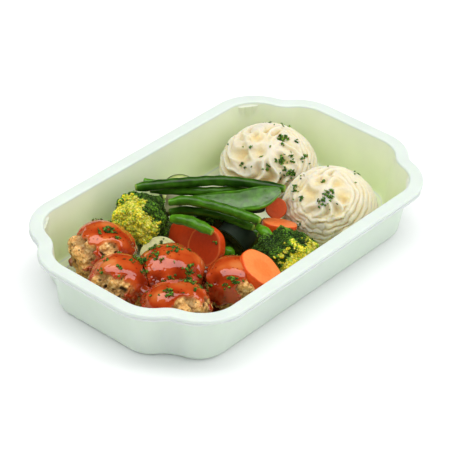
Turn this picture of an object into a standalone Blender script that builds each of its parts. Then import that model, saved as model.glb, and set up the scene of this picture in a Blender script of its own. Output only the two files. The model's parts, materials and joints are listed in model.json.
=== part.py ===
"""A ready meal in a lobed plastic tray.

Glazed meatballs, two piped heaps of potato mash, broccoli, green beans, a flat pea pod and slices of
carrot and courgette lie in one moulded tray, with chopped parsley on the meatballs and the mash.
Units are metres and +Z is up. The origin is the middle of the tray's underside, and +X runs along the tray.
"""

import math
import random

import bmesh
import bpy
from mathutils import Matrix, Vector, noise

MM = 0.001

# Tray: outer sizes, then the arcs of its lobed corners.
TRAY_LENGTH = 226.2 * MM
TRAY_WIDTH = 137.4 * MM
TRAY_HEIGHT = 34.0 * MM
SHEET = 0.8 * MM  # thickness of the moulded sheet
LOBE_RADIUS = 29.0 * MM  # the round that ends each long side
LOBE_X = 71.1 * MM  # where the long side's straight run ends
SHOULDER_RADIUS = 26.95 * MM  # the round that ends each short side
SHOULDER_Y = 21.45 * MM  # where the short side's straight run ends
NOTCH_RADIUS = 9.5 * MM  # the hollow between those two rounds

# Tray: the section from the lip, over the flange and down the wall to the floor.
FLANGE_WIDTH = 7.9 * MM
LIP_DROP = 3.2 * MM
LIP_BAND = 1.0 * MM  # height of the lip's lower band, which stands out a little
LIP_STEP = 0.3 * MM
LIP_ROUND = 0.8 * MM
MOUTH_ROUND = 1.0 * MM  # where the flange turns down into the wall
WALL_DRAFT = math.radians(7.6)
BASE_ROUND = 3.4 * MM
FOOT_WIDTH = 1.2 * MM  # the flat ring that the tray stands on
FLOOR_RISE = 0.8 * MM  # how far the floor lies above that ring
FLOOR_SLOPE = 0.7 * MM
SHOULDER_STEPS, NOTCH_STEPS, LOBE_STEPS = 4, 3, 5  # facets of each arc

# Food: pieces that touch keep this gap. The steps are the facets of a rounded piece, round it and down it.
GAP = 0.3 * MM
DENT_GAP = 0.45 * MM  # measured along a corner, so that the gap beside it is the usual one
FLOOR_TOP = SHEET + FLOOR_RISE
REST = FLOOR_TOP + GAP
LUMP_STEPS, LUMP_ROWS = 20, 12
CREASE_REACH = 0.62  # how far from a clump's middle its crease is, as a share of the cell

# Meatballs: middle, half-width, half-height and the seed of the meat's crags, in millimetres.
MEATBALLS = {
    "meatball_1": ((-66.0, 31.7, 17.0), 18.3, 15.6, 3),
    "meatball_2": ((-80.1, 6.5, 16.5), 16.6, 15.2, 8),
    "meatball_3": ((-56.8, -7.5, 17.0), 18.6, 15.6, 14),
    "meatball_4": ((-77.6, -30.7, 17.0), 18.8, 15.6, 21),
    "meatball_5": ((-39.8, -36.2, 16.5), 15.8, 15.0, 34),
}
CRAG_CELL = 8.5 * MM
CRAG_DEPTH = 2.4 * MM
MEAT_SWELL = 0.9 * MM
MEAT_SWELL_WIDTH = 14.0 * MM

# Mash: middle, half-width and half-height in millimetres, and the coils that ring its sides.
MASH_HEAPS = {
    "mash_1": {"centre": (64.8, 25.6, 12.0), "radius": 28.2, "half_height": 24.6, "coils": 0},
    "mash_2": {"centre": (55.5, -25.5, 12.0), "radius": 27.0, "half_height": 23.6, "coils": 5},
}
FLUTES = 13  # crests piped by the star nozzle
FLUTE_DEPTH = 4.2 * MM
FLUTE_WIND = math.radians(80)  # how far a crest winds round between the top and the side
FLUTE_STEPS = 4  # mesh steps from one crest to the next
FLUTE_SPREAD = 1.6  # how soon the flutes reach their full depth from the top
COIL_START = math.radians(48)  # angle from the top where the coils begin
COIL_DEPTH = 1.8 * MM
COIL_FLUTES = 0.35  # share of the flutes' depth that is left on the coils
TOP_ROWS = 5  # mesh rows above the coils
MASH_ROWS = 11

# Broccoli: middle, half-width, half-height and the seed of the florets, in millimetres.
BROCCOLI = {
    "broccoli_1": ((-28.9, 38.5, 17.0), 15.8, 15.4, 5),
    "broccoli_2": ((0.7, -39.3, 15.5), 18.5, 14.5, 11),
}
FLORET_CELL = 10.0 * MM
FLORET_DEPTH = 2.8 * MM
FLORET_SWELL = 1.8 * MM

# Beans: points along the middle of each, in millimetres, and its half-thickness.
BEANS = {
    "bean_1": ([(-22.4, 48.4, 29.5), (-2.5, 31.7, 31.0), (15.3, 15.2, 31.3), (34.1, -10.1, 29.0)], 2.7),
    "bean_2": ([(-16.3, 29.6, 25.8), (-9.5, 20.8, 27.8), (-3.9, 3.2, 28.8), (3.5, -18.0, 27.0)], 2.5),
    "bean_3": ([(-15.5, 29.8, 19.0), (-8.4, 21.5, 20.3), (-1.2, 5.0, 21.5), (3.5, -14.0, 20.3)], 2.4),
    "bean_4": ([(-24.9, 20.1, 24.0), (-22.5, 10.0, 26.0), (-21.4, -0.6, 26.0), (-20.6, -5.2, 25.3)], 2.9),
    "bean_5": ([(-12.8, 46.1, 24.5), (-4.0, 34.0, 25.5), (8.0, 19.5, 26.0), (23.5, 8.0, 25.5)], 2.3),
    "bean_6": ([(-10.6, 52.9, 26.0), (-8.2, 48.8, 25.5), (-3.9, 40.9, 24.5)], 2.2),
    "bean_7": ([(4.7, -16.0, 21.5), (2.6, -22.6, 22.2), (1.1, -28.9, 21.5)], 2.6),
    "bean_8": ([(8.4, 4.1, 11.2), (7.7, -6.0, 13.2), (9.4, -13.0, 13.2)], 3.0),
}
BEAN_TAPER = 0.72  # thickness at the tips
BEAN_STEPS = 9

# Pea pod: points along its middle, half-width at each, in millimetres, and its thickness.
POD_LINE = [
    (-12.2, 30.8, 24.1),
    (-4.8, 20.8, 25.6),
    (2.9, 9.8, 27.1),
    (9.8, -0.4, 28.6),
    (17.8, -6.9, 30.1),
    (27.8, -11.4, 32.4),
]
POD_HALF_WIDTHS = (1.2, 2.8, 4.8, 6.2, 6.2, 2.2)
POD_THICKNESS = 4.2 * MM
POD_FACE = (-0.35, -0.30, 0.89)
POD_STEPS, POD_SIDES = 12, 10
POD_THIN = 4.0 * MM  # a half-width under which the pod is thinner too
POD_TIP = 0.5 * MM

# Slices: middle in millimetres, the way the cut face looks, radius and thickness.
CARROTS = {
    "carrot_1": ((-19.2, -0.6, 13.2), (-0.90, 0.01, 0.44), 10.9, 5.0),
    "carrot_2": ((-18.4, 15.1, 11.5), (-0.90, 0.01, 0.44), 9.8, 4.5),
    "carrot_3": ((-29.7, -44.7, 24.6), (0.28, -0.44, 0.85), 12.4, 6.0),
    "carrot_4": ((20.0, -18.5, 15.5), (0.33, 0.15, 0.93), 9.6, 4.5),
    "carrot_5": ((29.3, -8.5, 18.0), (-0.65, -0.51, 0.57), 5.8, 4.0),
}
CARROT_STEPS = 18
CARROT_EDGE = 0.6 * MM

# Courgette half slices: middle of the cut edge, way the face looks, way the skin looks, radius, thickness.
COURGETTES = {
    "courgette_1": ((9.3, 43.0, 12.0), (-0.30, -0.55, 0.78), (0.2, 0.6, 0.6), 11.5, 5.0),
    "courgette_2": ((-6.4, 39.9, 17.0), (-0.30, -0.20, 0.93), (0.5, -0.8, 0.1), 9.0, 4.5),
    "courgette_3": ((2.6, -3.3, 11.2), (0.89, -0.04, 0.45), (-0.65, -0.51, 0.57), 9.6, 10.5),
    "courgette_4": ((0.0, 12.0, 4.6), (-0.80, -0.55, 0.20), (0.1, 0.2, 0.97), 14.0, 6.0),
    "courgette_5": ((22.5, 3.9, 17.4), (0.25, 0.20, 0.95), (-0.75, -0.60, 0.20), 8.0, 5.0),
    "courgette_6": ((-34.4, 18.6, 4.5), (-0.60, -0.55, 0.58), (0.3, 0.2, 0.93), 11.0, 6.0),
}
COURGETTE_STEPS = 12

# Where one piece lies in another: the softer or lower piece is hollowed by the pieces named for it.
DENTS = {
    "broccoli_1": ("bean_1", "bean_3", "carrot_2", "courgette_2", "courgette_6"),
    "broccoli_2": ("bean_7", "carrot_4"),
    "mash_2": ("carrot_4", "carrot_5"),
    "meatball_5": ("carrot_3",),
    "carrot_2": ("carrot_1", "courgette_6"),
    "carrot_4": ("carrot_5",),
    "courgette_3": ("bean_3", "bean_7", "bean_8"),
    "courgette_4": ("bean_8", "courgette_3"),
}

# A loose pea beside the first carrot slice.
PEA_CENTRE = (-9.3, -7.6, 7.0)
PEA_RADIUS = 3.9 * MM

# Parsley: the clusters on each piece, as compass angle, angle from the top, flakes and spread in degrees.
PARSLEY = {
    "meatball_1": [(-120, 22, 3, 16), (-60, 40, 1, 10)],
    "meatball_2": [(-130, 20, 4, 26), (-10, 25, 2, 12)],
    "meatball_3": [(150, 20, 4, 12), (60, 20, 3, 10), (-60, 30, 2, 22)],
    "meatball_4": [(160, 20, 3, 14), (40, 30, 3, 20)],
    "meatball_5": [(-125, 30, 2, 10), (-165, 45, 2, 14)],
    "mash_1": [(-110, 30, 5, 14), (-90, 60, 4, 14), (40, 15, 2, 30), (-170, 45, 2, 30)],
    "mash_2": [(-130, 25, 4, 16), (-170, 50, 2, 16), (120, 20, 2, 25)],
}
FLAKE_RADIUS = 1.3 * MM
FLAKE_THICKNESS = 1.0 * MM
FLAKE_SIDES = 4
FLAKE_TAPER = 0.7
FLAKE_LIFT = 0.15  # share of its thickness that a flake's middle stands off the food
FLAKE_REACH = 60.0 * MM  # from a piece's middle to well outside it

# Colours as linear RGB, with roughness.
FINISHES = {
    "tray_plastic": ((0.66, 0.76, 0.62), 0.35),
    "meatball_glazed": ((0.42, 0.08, 0.02), 0.25),
    "potato_mash": ((0.82, 0.72, 0.48), 0.50),
    "broccoli_florets": ((0.07, 0.16, 0.01), 0.60),
    "bean_green": ((0.04, 0.14, 0.01), 0.30),
    "carrot_orange": ((0.75, 0.13, 0.02), 0.35),
    "courgette_flesh": ((0.42, 0.48, 0.14), 0.35),
}


def millimetres(point):
    return Vector(point) * MM


def round_direction(turn, lean):
    """The direction at this compass angle and this angle from the top, both in radians."""
    return Vector((math.sin(lean) * math.cos(turn), math.sin(lean) * math.sin(turn), math.cos(lean)))


def make_material(name):
    colour, roughness = FINISHES[name]
    material = bpy.data.materials.new(name)
    material.use_nodes = True
    shader = material.node_tree.nodes["Principled BSDF"]
    shader.inputs["Base Color"].default_value = (*colour, 1.0)
    shader.inputs["Roughness"].default_value = roughness
    shader.inputs["Metallic"].default_value = 0.0
    return material


def add_object(name, data, material, collection):
    """One named sub-part with its own material."""
    part = bpy.data.objects.new(name, data)
    data.materials.append(material)
    collection.objects.link(part)
    return part


def mesh_from(name, shape):
    """The bmesh as a mesh, shaded smooth except at sharp edges."""
    bmesh.ops.recalc_face_normals(shape, faces=shape.faces)
    mesh = bpy.data.meshes.new(name)
    shape.to_mesh(mesh)
    shape.free()
    mesh.shade_smooth()
    mesh.set_sharp_from_angle(angle=math.radians(40))
    return mesh


# Tray

def notch_centre():
    """The middle of the hollow arc, which touches the lobe's arc and the shoulder's arc."""
    lobe = Vector((LOBE_X, TRAY_WIDTH / 2 - LOBE_RADIUS))
    shoulder = Vector((TRAY_LENGTH / 2 - SHOULDER_RADIUS, SHOULDER_Y))
    between = shoulder - lobe
    reach_lobe = LOBE_RADIUS + NOTCH_RADIUS
    reach_shoulder = SHOULDER_RADIUS + NOTCH_RADIUS
    along = (reach_lobe**2 - reach_shoulder**2 + between.length_squared) / (2 * between.length)
    aside = math.sqrt(reach_lobe**2 - along**2)
    direction = between.normalized()
    return lobe + along * direction + aside * Vector((-direction.y, direction.x))


def angles(start, stop, steps):
    return [start + (stop - start) * i / steps for i in range(steps + 1)]


def tray_stations():
    """(point, outward direction) round the flange's outer edge, all four corners, anticlockwise."""
    lobe = Vector((LOBE_X, TRAY_WIDTH / 2 - LOBE_RADIUS))
    shoulder = Vector((TRAY_LENGTH / 2 - SHOULDER_RADIUS, SHOULDER_Y))
    notch = notch_centre()
    to_lobe = math.atan2(*(notch - lobe).yx)
    to_shoulder = math.atan2(*(notch - shoulder).yx)
    arcs = [(shoulder, SHOULDER_RADIUS, a) for a in angles(0, to_shoulder, SHOULDER_STEPS)]
    arcs += [(notch, -NOTCH_RADIUS, a) for a in angles(to_shoulder, to_lobe, NOTCH_STEPS)[1:]]
    arcs += [(lobe, LOBE_RADIUS, a) for a in angles(to_lobe, math.pi / 2, LOBE_STEPS)[1:]]
    quarter = []
    for centre, radius, angle in arcs:
        outward = Vector((math.cos(angle), math.sin(angle)))
        quarter.append((centre + radius * outward, outward))
    stations = []
    for sign_x, sign_y in ((1, 1), (-1, 1), (-1, -1), (1, -1)):
        corner = [
            (Vector((p.x * sign_x, p.y * sign_y)), Vector((n.x * sign_x, n.y * sign_y)))
            for p, n in quarter
        ]
        stations += corner if sign_x == sign_y else corner[::-1]
    return stations


def tray_section():
    """(distance in from the outer edge, height) along the tray's upper face, from the lip to the floor."""
    top = TRAY_HEIGHT
    lip_bottom = top - LIP_DROP
    section = [
        (0.0, lip_bottom),
        (0.0, lip_bottom + LIP_BAND),
        (LIP_STEP, lip_bottom + LIP_BAND + LIP_STEP / 2),
        (LIP_STEP, top - LIP_ROUND),
        (LIP_STEP + 0.3 * LIP_ROUND, top - 0.3 * LIP_ROUND),
        (LIP_STEP + LIP_ROUND, top),
    ]
    mouth = (FLANGE_WIDTH - MOUTH_ROUND, top - MOUTH_ROUND)
    for angle in angles(math.pi / 2, WALL_DRAFT, 2):
        section.append((mouth[0] + MOUTH_ROUND * math.cos(angle), mouth[1] + MOUTH_ROUND * math.sin(angle)))
    wall_foot = SHEET + BASE_ROUND * (1 - math.sin(WALL_DRAFT))
    wall_in = section[-1][0] + (section[-1][1] - wall_foot) * math.tan(WALL_DRAFT)
    round_in = wall_in + BASE_ROUND * math.cos(WALL_DRAFT)
    for angle in angles(WALL_DRAFT, math.pi / 2, 3):
        section.append((round_in - BASE_ROUND * math.cos(angle), SHEET + BASE_ROUND * (1 - math.sin(angle))))
    section.append((round_in + FOOT_WIDTH, SHEET))
    section.append((round_in + FOOT_WIDTH + FLOOR_SLOPE, FLOOR_TOP))
    return section


def wall_inset(height):
    """How far in from the outer edge the wall's inner face is at this height."""
    section = tray_section()[8:]
    for (inset_a, height_a), (inset_b, height_b) in zip(section, section[1:]):
        if height_b <= height <= height_a and height_a > height_b:
            share = (height_a - height) / (height_a - height_b)
            return inset_a + share * (inset_b - inset_a)
    return FLANGE_WIDTH


def keep_in_tray(point, stations):
    """Moves a point in until it is a gap clear of the wall and of the floor."""
    point.z = max(point.z, REST)
    flat = point.xy
    edge, outward = min(stations, key=lambda station: (station[0] - flat).length_squared)
    short = wall_inset(point.z) + 2 * GAP - (edge - flat).dot(outward)
    if short > 0:
        point.xy -= short * outward
    return point


def build_tray(collection):
    stations = tray_stations()
    shape = bmesh.new()
    rings = []
    for inset, height in tray_section():
        rings.append([shape.verts.new((*(p - inset * n), height)) for p, n in stations])
    count = len(stations)
    for outer, inner in zip(rings, rings[1:]):
        for i in range(count):
            j = (i + 1) % count
            shape.faces.new((outer[i], outer[j], inner[j], inner[i]))
    shape.faces.new(rings[-1])
    tray = add_object("tray", mesh_from("tray", shape), make_material("tray_plastic"), collection)
    shell = tray.modifiers.new("sheet", "SOLIDIFY")
    shell.thickness = SHEET
    shell.offset = -1.0
    shell.use_even_offset = True


# Rounded food

def halfway_planes(name, pieces):
    """(point, direction) of the flat contact with each neighbour that this rounded piece would meet."""
    centre, reach = pieces[name]
    planes = []
    for other, (other_centre, other_reach) in pieces.items():
        apart = other_centre - centre
        overlap = reach + other_reach - apart.length
        if other != name and overlap > -GAP:
            direction = apart.normalized()
            planes.append((centre + (reach - overlap / 2 - GAP / 2) * direction, direction))
    return planes


def keep_apart(point, planes):
    for origin, direction in planes:
        past = (point - origin).dot(direction)
        if past > 0:
            point -= past * direction
    return point


def lumps(point, cell, depth, seed):
    """Relief of rounded clumps with creases between them: 0 at a clump's middle and -depth in a crease."""
    nearest = noise.voronoi(point / cell + Vector((seed, seed * 0.37, seed * 0.11)))[0]
    return -depth * min(1.0, nearest[0] / CREASE_REACH) ** 2


def build_lumpy_ball(name, centre, half_width, half_height, relief, planes, stations):
    """A rounded lump of food with uneven relief, flat where it meets what lies next to it."""
    shape = bmesh.new()
    bmesh.ops.create_uvsphere(shape, u_segments=LUMP_STEPS, v_segments=LUMP_ROWS, radius=1.0)
    for vert in shape.verts:
        direction = vert.co.normalized()
        offset = Vector((direction.x * half_width, direction.y * half_width, direction.z * half_height))
        point = centre + offset + relief(offset) * direction
        vert.co = keep_in_tray(keep_apart(point, planes), stations)
    return mesh_from(name, shape)


def flake_mesh(rng):
    """A chip of chopped parsley: a small uneven four-sided plate."""
    shape = bmesh.new()
    bmesh.ops.create_cone(
        shape,
        cap_ends=True,
        segments=FLAKE_SIDES,
        radius1=FLAKE_RADIUS,
        radius2=FLAKE_RADIUS * FLAKE_TAPER,
        depth=FLAKE_THICKNESS,
    )
    for vert in shape.verts:
        vert.co.x *= rng.uniform(0.7, 1.4)
        vert.co.y *= rng.uniform(0.5, 1.0)
    mesh = bpy.data.meshes.new("flake")
    shape.to_mesh(mesh)
    shape.free()
    return mesh


def apply_boolean(piece):
    """Gives the piece the result of its Boolean modifier."""
    bpy.context.view_layer.update()
    result = bpy.data.meshes.new_from_object(piece.evaluated_get(bpy.context.evaluated_depsgraph_get()))
    piece.modifiers.clear()
    piece.data = result


def dent(piece, presser):
    """Hollows the piece where another lies in it, with the gap between them."""
    bpy.context.view_layer.update()
    shape = bmesh.new()
    shape.from_mesh(
        bpy.data.meshes.new_from_object(presser.evaluated_get(bpy.context.evaluated_depsgraph_get()))
    )
    shape.transform(presser.matrix_world)
    bmesh.ops.remove_doubles(shape, verts=shape.verts, dist=0.01 * MM)
    bmesh.ops.recalc_face_normals(shape, faces=shape.faces)
    shape.normal_update()
    normals = [vert.normal.copy() for vert in shape.verts]
    for vert, normal in zip(shape.verts, normals):
        vert.co += normal * DENT_GAP
    mesh = bpy.data.meshes.new("dent")
    shape.to_mesh(mesh)
    shape.free()
    cutter = bpy.data.objects.new("dent", mesh)
    bpy.context.scene.collection.objects.link(cutter)
    cut = piece.modifiers.new("dent", "BOOLEAN")
    cut.operation = "DIFFERENCE"
    cut.object = cutter
    apply_boolean(piece)
    bpy.data.objects.remove(cutter)


def fuse_parsley(piece, centre):
    """Chopped parsley on the piece's top, joined to it by one Boolean union."""
    rng = random.Random(piece.name)
    flakes = bpy.data.collections.new(piece.name + "_flakes")
    bpy.context.scene.collection.children.link(flakes)
    for compass, tilt, count, spread in PARSLEY[piece.name]:
        for _ in range(count):
            turn = math.radians(compass + rng.gauss(0, spread) / max(0.3, math.sin(math.radians(tilt))))
            lean = math.radians(max(2, tilt + rng.gauss(0, spread * 0.6)))
            outward = round_direction(turn, lean)
            hit, place, normal, _ = piece.ray_cast(centre + outward * FLAKE_REACH, -outward)
            if not hit:
                continue
            flake = bpy.data.objects.new("flake", flake_mesh(rng))
            spin = Matrix.Rotation(rng.uniform(0, math.tau), 4, "Z")
            tip = normal.lerp(outward, 0.5).normalized().to_track_quat("Z", "Y").to_matrix().to_4x4()
            lift = normal * FLAKE_THICKNESS * FLAKE_LIFT
            flake.matrix_world = Matrix.Translation(place + lift) @ tip @ spin
            flakes.objects.link(flake)
    join = piece.modifiers.new("parsley", "BOOLEAN")
    join.operation = "UNION"
    join.operand_type = "COLLECTION"
    join.collection = flakes
    join.solver = "MANIFOLD"
    apply_boolean(piece)
    for flake in list(flakes.objects):
        bpy.data.objects.remove(flake)
    bpy.data.collections.remove(flakes)


def build_meatballs(collection, round_food, stations):
    for name, (centre, half_width, half_height, seed) in MEATBALLS.items():
        def crags(offset, seed=seed):
            swell = MEAT_SWELL * (0.5 + noise.noise(offset / MEAT_SWELL_WIDTH + Vector((seed, 0, 0))))
            return swell + lumps(offset, CRAG_CELL, CRAG_DEPTH, seed)

        mesh = build_lumpy_ball(
            name, millimetres(centre), half_width * MM, half_height * MM,
            crags, halfway_planes(name, round_food), stations,
        )
        add_object(name, mesh, make_material("meatball_glazed"), collection)


def build_broccoli(collection, round_food, stations):
    for name, (centre, half_width, half_height, seed) in BROCCOLI.items():
        def florets(offset, seed=seed):
            return FLORET_SWELL + lumps(offset, FLORET_CELL, FLORET_DEPTH, seed)

        mesh = build_lumpy_ball(
            name, millimetres(centre), half_width * MM, half_height * MM,
            florets, halfway_planes(name, round_food), stations,
        )
        add_object(name, mesh, make_material("broccoli_florets"), collection)


def mash_point(heap, step, lean):
    """A point of the piped heap: crests wind out from the top, and coils ring the sides."""
    turn = math.tau * step / (FLUTES * FLUTE_STEPS) - FLUTE_WIND * lean / (math.pi / 2)
    outward = round_direction(turn, lean)
    radius, half_height = heap["radius"] * MM, heap["half_height"] * MM
    plain = Vector((outward.x * radius, outward.y * radius, outward.z * half_height))
    trough = abs(math.sin(math.pi * step / FLUTE_STEPS))
    depth = FLUTE_DEPTH * trough * min(1.0, math.sin(lean) * FLUTE_SPREAD)
    if heap["coils"] and lean > COIL_START:
        depth *= COIL_FLUTES
    return millimetres(heap["centre"]) + plain - depth * outward


def mash_rows(heap, lowest):
    """(angle from the top, depth below the crests) of each row of points down the heap."""
    if not heap["coils"]:
        return [(lowest * row / MASH_ROWS, 0.0) for row in range(1, MASH_ROWS + 1)]
    rows = [(COIL_START * row / TOP_ROWS, 0.0) for row in range(1, TOP_ROWS + 1)]
    for row in range(1, 2 * heap["coils"] + 1):
        lean = COIL_START + (lowest - COIL_START) * row / (2 * heap["coils"])
        rows.append((lean, COIL_DEPTH * (row % 2)))
    return rows


def build_mash(collection, round_food, stations):
    steps = FLUTES * FLUTE_STEPS
    for name, heap in MASH_HEAPS.items():
        planes = halfway_planes(name, round_food)
        middle = millimetres(heap["centre"])
        lowest = math.acos((REST / MM - heap["centre"][2]) / heap["half_height"])
        shape = bmesh.new()
        top = shape.verts.new(mash_point(heap, 0, 0.0))
        rows = []
        for lean, depth in mash_rows(heap, lowest):
            ring = []
            for step in range(steps):
                point = mash_point(heap, step, lean)
                point -= depth * (point - middle).normalized()
                if lean == lowest:
                    point.z = REST
                ring.append(shape.verts.new(keep_in_tray(keep_apart(point, planes), stations)))
            rows.append(ring)
        for i in range(steps):
            j = (i + 1) % steps
            shape.faces.new((top, rows[0][i], rows[0][j]))
            for upper, lower in zip(rows, rows[1:]):
                shape.faces.new((upper[i], lower[i], lower[j], upper[j]))
        shape.faces.new(rows[-1][::-1])
        add_object(name, mesh_from(name, shape), make_material("potato_mash"), collection)


# Long food

def smooth_path(points, steps):
    """Points along a smooth curve through the given ones (Catmull-Rom)."""
    knots = [2 * points[0] - points[1], *points, 2 * points[-1] - points[-2]]
    spans = len(points) - 1
    path = []
    for step in range(steps + 1):
        along = spans * step / steps
        span = min(int(along), spans - 1)
        t = along - span
        before, start, end, after = knots[span : span + 4]
        path.append(
            0.5 * (
                2 * start + (end - before) * t
                + (2 * before - 5 * start + 4 * end - after) * t**2
                + (3 * start - before - 3 * end + after) * t**3
            )
        )
    return path


def build_beans(collection):
    for name, (points, half_thickness) in BEANS.items():
        path = smooth_path([millimetres(p) for p in points], BEAN_STEPS)
        curve = bpy.data.curves.new(name, "CURVE")
        curve.dimensions = "3D"
        curve.bevel_depth = half_thickness * MM
        curve.bevel_resolution = 2
        curve.use_fill_caps = True
        spline = curve.splines.new("POLY")
        spline.points.add(len(path) - 1)
        for i, (point, place) in enumerate(zip(spline.points, path)):
            point.co = (*place, 1.0)
            from_tip = min(i, len(path) - 1 - i) / 2
            point.radius = BEAN_TAPER + (1 - BEAN_TAPER) * min(1.0, from_tip)
        add_object(name, curve, make_material("bean_green"), collection)


def build_pod(collection):
    """A flat pod: a lens-shaped section that widens and narrows along its line."""
    path = smooth_path([millimetres(p) for p in POD_LINE], POD_STEPS)
    widths = smooth_path([Vector((w * MM, 0, 0)) for w in POD_HALF_WIDTHS], POD_STEPS)
    face = Vector(POD_FACE).normalized()
    shape = bmesh.new()
    rings = []
    for i, place in enumerate(path):
        ahead = (path[min(i + 1, POD_STEPS)] - path[max(i - 1, 0)]).normalized()
        across = ahead.cross(face).normalized()
        normal = across.cross(ahead)
        half_width = max(widths[i].x, POD_TIP)
        half_thick = POD_THICKNESS / 2 * min(1.0, half_width / POD_THIN)
        ring = []
        for angle in angles(0, math.tau, POD_SIDES)[:-1]:
            corner = across * half_width * math.cos(angle) + normal * half_thick * math.sin(angle)
            ring.append(shape.verts.new(place + corner))
        rings.append(ring)
    for first, second in zip(rings, rings[1:]):
        for i in range(POD_SIDES):
            j = (i + 1) % POD_SIDES
            shape.faces.new((first[i], second[i], second[j], first[j]))
    shape.faces.new(rings[0])
    shape.faces.new(rings[-1][::-1])
    add_object("pea_pod", mesh_from("pea_pod", shape), make_material("bean_green"), collection)


# Slices

def build_carrots(collection):
    for name, (centre, face, radius, thickness) in CARROTS.items():
        shape = bmesh.new()
        bmesh.ops.create_cone(
            shape,
            cap_ends=True,
            segments=CARROT_STEPS,
            radius1=radius * MM,
            radius2=radius * MM,
            depth=thickness * MM,
        )
        slice_ = add_object(name, mesh_from(name, shape), make_material("carrot_orange"), collection)
        slice_.location = millimetres(centre)
        slice_.rotation_euler = Vector(face).to_track_quat("Z", "Y").to_euler()
        edge = slice_.modifiers.new("cut edge", "BEVEL")
        edge.width = CARROT_EDGE
        edge.segments = 1


def build_courgettes(collection):
    for name, (centre, face, skin, radius, thickness) in COURGETTES.items():
        face = Vector(face).normalized()
        across = Vector(skin).cross(face).normalized()
        up = face.cross(across)
        shape = bmesh.new()
        outline = []
        for angle in angles(0, math.pi, COURGETTE_STEPS):
            corner = Vector((radius * math.cos(angle), radius * math.sin(angle), -thickness / 2))
            outline.append(shape.verts.new(corner * MM))
        base = shape.faces.new(outline)
        grown = bmesh.ops.extrude_face_region(shape, geom=[base])["geom"]
        for vert in (item for item in grown if isinstance(item, bmesh.types.BMVert)):
            vert.co.z += thickness * MM
        piece = add_object(name, mesh_from(name, shape), make_material("courgette_flesh"), collection)
        turn = Matrix((across, up, face)).transposed().to_4x4()
        piece.matrix_world = Matrix.Translation(millimetres(centre)) @ turn


def build_pea(collection):
    shape = bmesh.new()
    bmesh.ops.create_uvsphere(shape, u_segments=12, v_segments=8, radius=PEA_RADIUS)
    pea = add_object("pea", mesh_from("pea", shape), make_material("bean_green"), collection)
    pea.location = millimetres(PEA_CENTRE)


def main():
    for existing in list(bpy.data.objects):
        bpy.data.objects.remove(existing)
    meal = bpy.data.collections.new("tray_meal")
    bpy.context.scene.collection.children.link(meal)
    stations = tray_stations()
    round_food = {}
    for name, (centre, half_width, _, _) in {**MEATBALLS, **BROCCOLI}.items():
        round_food[name] = (millimetres(centre), half_width * MM)
    for name, heap in MASH_HEAPS.items():
        round_food[name] = (millimetres(heap["centre"]), heap["radius"] * MM)
    build_tray(meal)
    build_meatballs(meal, round_food, stations)
    build_mash(meal, round_food, stations)
    build_broccoli(meal, round_food, stations)
    build_beans(meal)
    build_pod(meal)
    build_carrots(meal)
    build_courgettes(meal)
    build_pea(meal)
    for name, pressers in DENTS.items():
        for presser in pressers:
            dent(bpy.data.objects[name], bpy.data.objects[presser])
    for name in PARSLEY:
        fuse_parsley(bpy.data.objects[name], round_food[name][0])


main()
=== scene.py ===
"""A ready meal in a pale green plastic tray, dressed for a studio photograph.

Units are metres and +Z is up. The origin is the middle of the tray's underside, +X runs along the tray.
"""

import json
import math
import random

import bmesh
import bpy
from mathutils import Matrix, Vector, noise
from mathutils.bvhtree import BVHTree
from mathutils.kdtree import KDTree

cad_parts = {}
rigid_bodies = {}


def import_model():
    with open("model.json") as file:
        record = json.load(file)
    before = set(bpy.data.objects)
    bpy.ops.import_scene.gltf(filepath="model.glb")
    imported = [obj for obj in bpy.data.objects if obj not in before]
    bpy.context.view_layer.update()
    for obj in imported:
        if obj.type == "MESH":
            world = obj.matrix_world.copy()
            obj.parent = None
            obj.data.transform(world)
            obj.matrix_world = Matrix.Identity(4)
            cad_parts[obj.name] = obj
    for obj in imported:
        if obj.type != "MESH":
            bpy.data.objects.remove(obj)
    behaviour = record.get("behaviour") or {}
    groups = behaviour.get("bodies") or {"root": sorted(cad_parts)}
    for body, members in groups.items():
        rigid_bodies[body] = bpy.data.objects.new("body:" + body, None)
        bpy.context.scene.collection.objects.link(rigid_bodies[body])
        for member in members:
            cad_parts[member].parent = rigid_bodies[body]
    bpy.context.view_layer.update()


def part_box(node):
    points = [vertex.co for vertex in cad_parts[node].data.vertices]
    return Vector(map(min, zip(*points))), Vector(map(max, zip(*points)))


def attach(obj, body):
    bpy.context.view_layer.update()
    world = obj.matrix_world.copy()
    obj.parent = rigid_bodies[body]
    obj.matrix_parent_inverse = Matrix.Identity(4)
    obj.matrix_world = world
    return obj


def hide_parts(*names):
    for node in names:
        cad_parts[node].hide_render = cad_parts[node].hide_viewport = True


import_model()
MM = 0.001

# Camera
# A long lens looks down from beyond the near left corner, 35 degrees above the table. Its place and its
# directions were solved from the tray's rim.
PHOTO_SIDE = 452
PHOTO_FOCUS = 2095.0  # pixels
SENSOR_WIDTH = 36.0  # millimetres
CAMERA_PLACE = Vector((-0.727124, -0.574007, 0.653168))
CAMERA_RIGHT = Vector((0.64637989, -0.76144874, 0.04887594))
CAMERA_UP = Vector((0.40626952, 0.39768073, 0.82267558))
CAMERA_BACK = Vector((-0.6458623, -0.51190415, 0.56640624))
camera_data = bpy.data.cameras.new("camera")
camera_data.sensor_width = SENSOR_WIDTH
camera_data.lens = SENSOR_WIDTH * PHOTO_FOCUS / PHOTO_SIDE
camera_data.clip_start = 0.05
camera_data.clip_end = 20.0
camera = bpy.data.objects.new("camera", camera_data)
camera.matrix_world = (
    Matrix.Translation(CAMERA_PLACE) @ Matrix((CAMERA_RIGHT, CAMERA_UP, CAMERA_BACK)).transposed().to_4x4()
)
bpy.context.scene.collection.objects.link(camera)
bpy.context.scene.camera = camera

# Table
# A wide studio table faced with matt white laminate, which runs on far behind the meal. Its face lies a hair
# under the tray's foot, so that the two never flicker through each other.
TABLE_HALF_SIDE = 4.0
TABLE_DROP = 0.05 * MM


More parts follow.
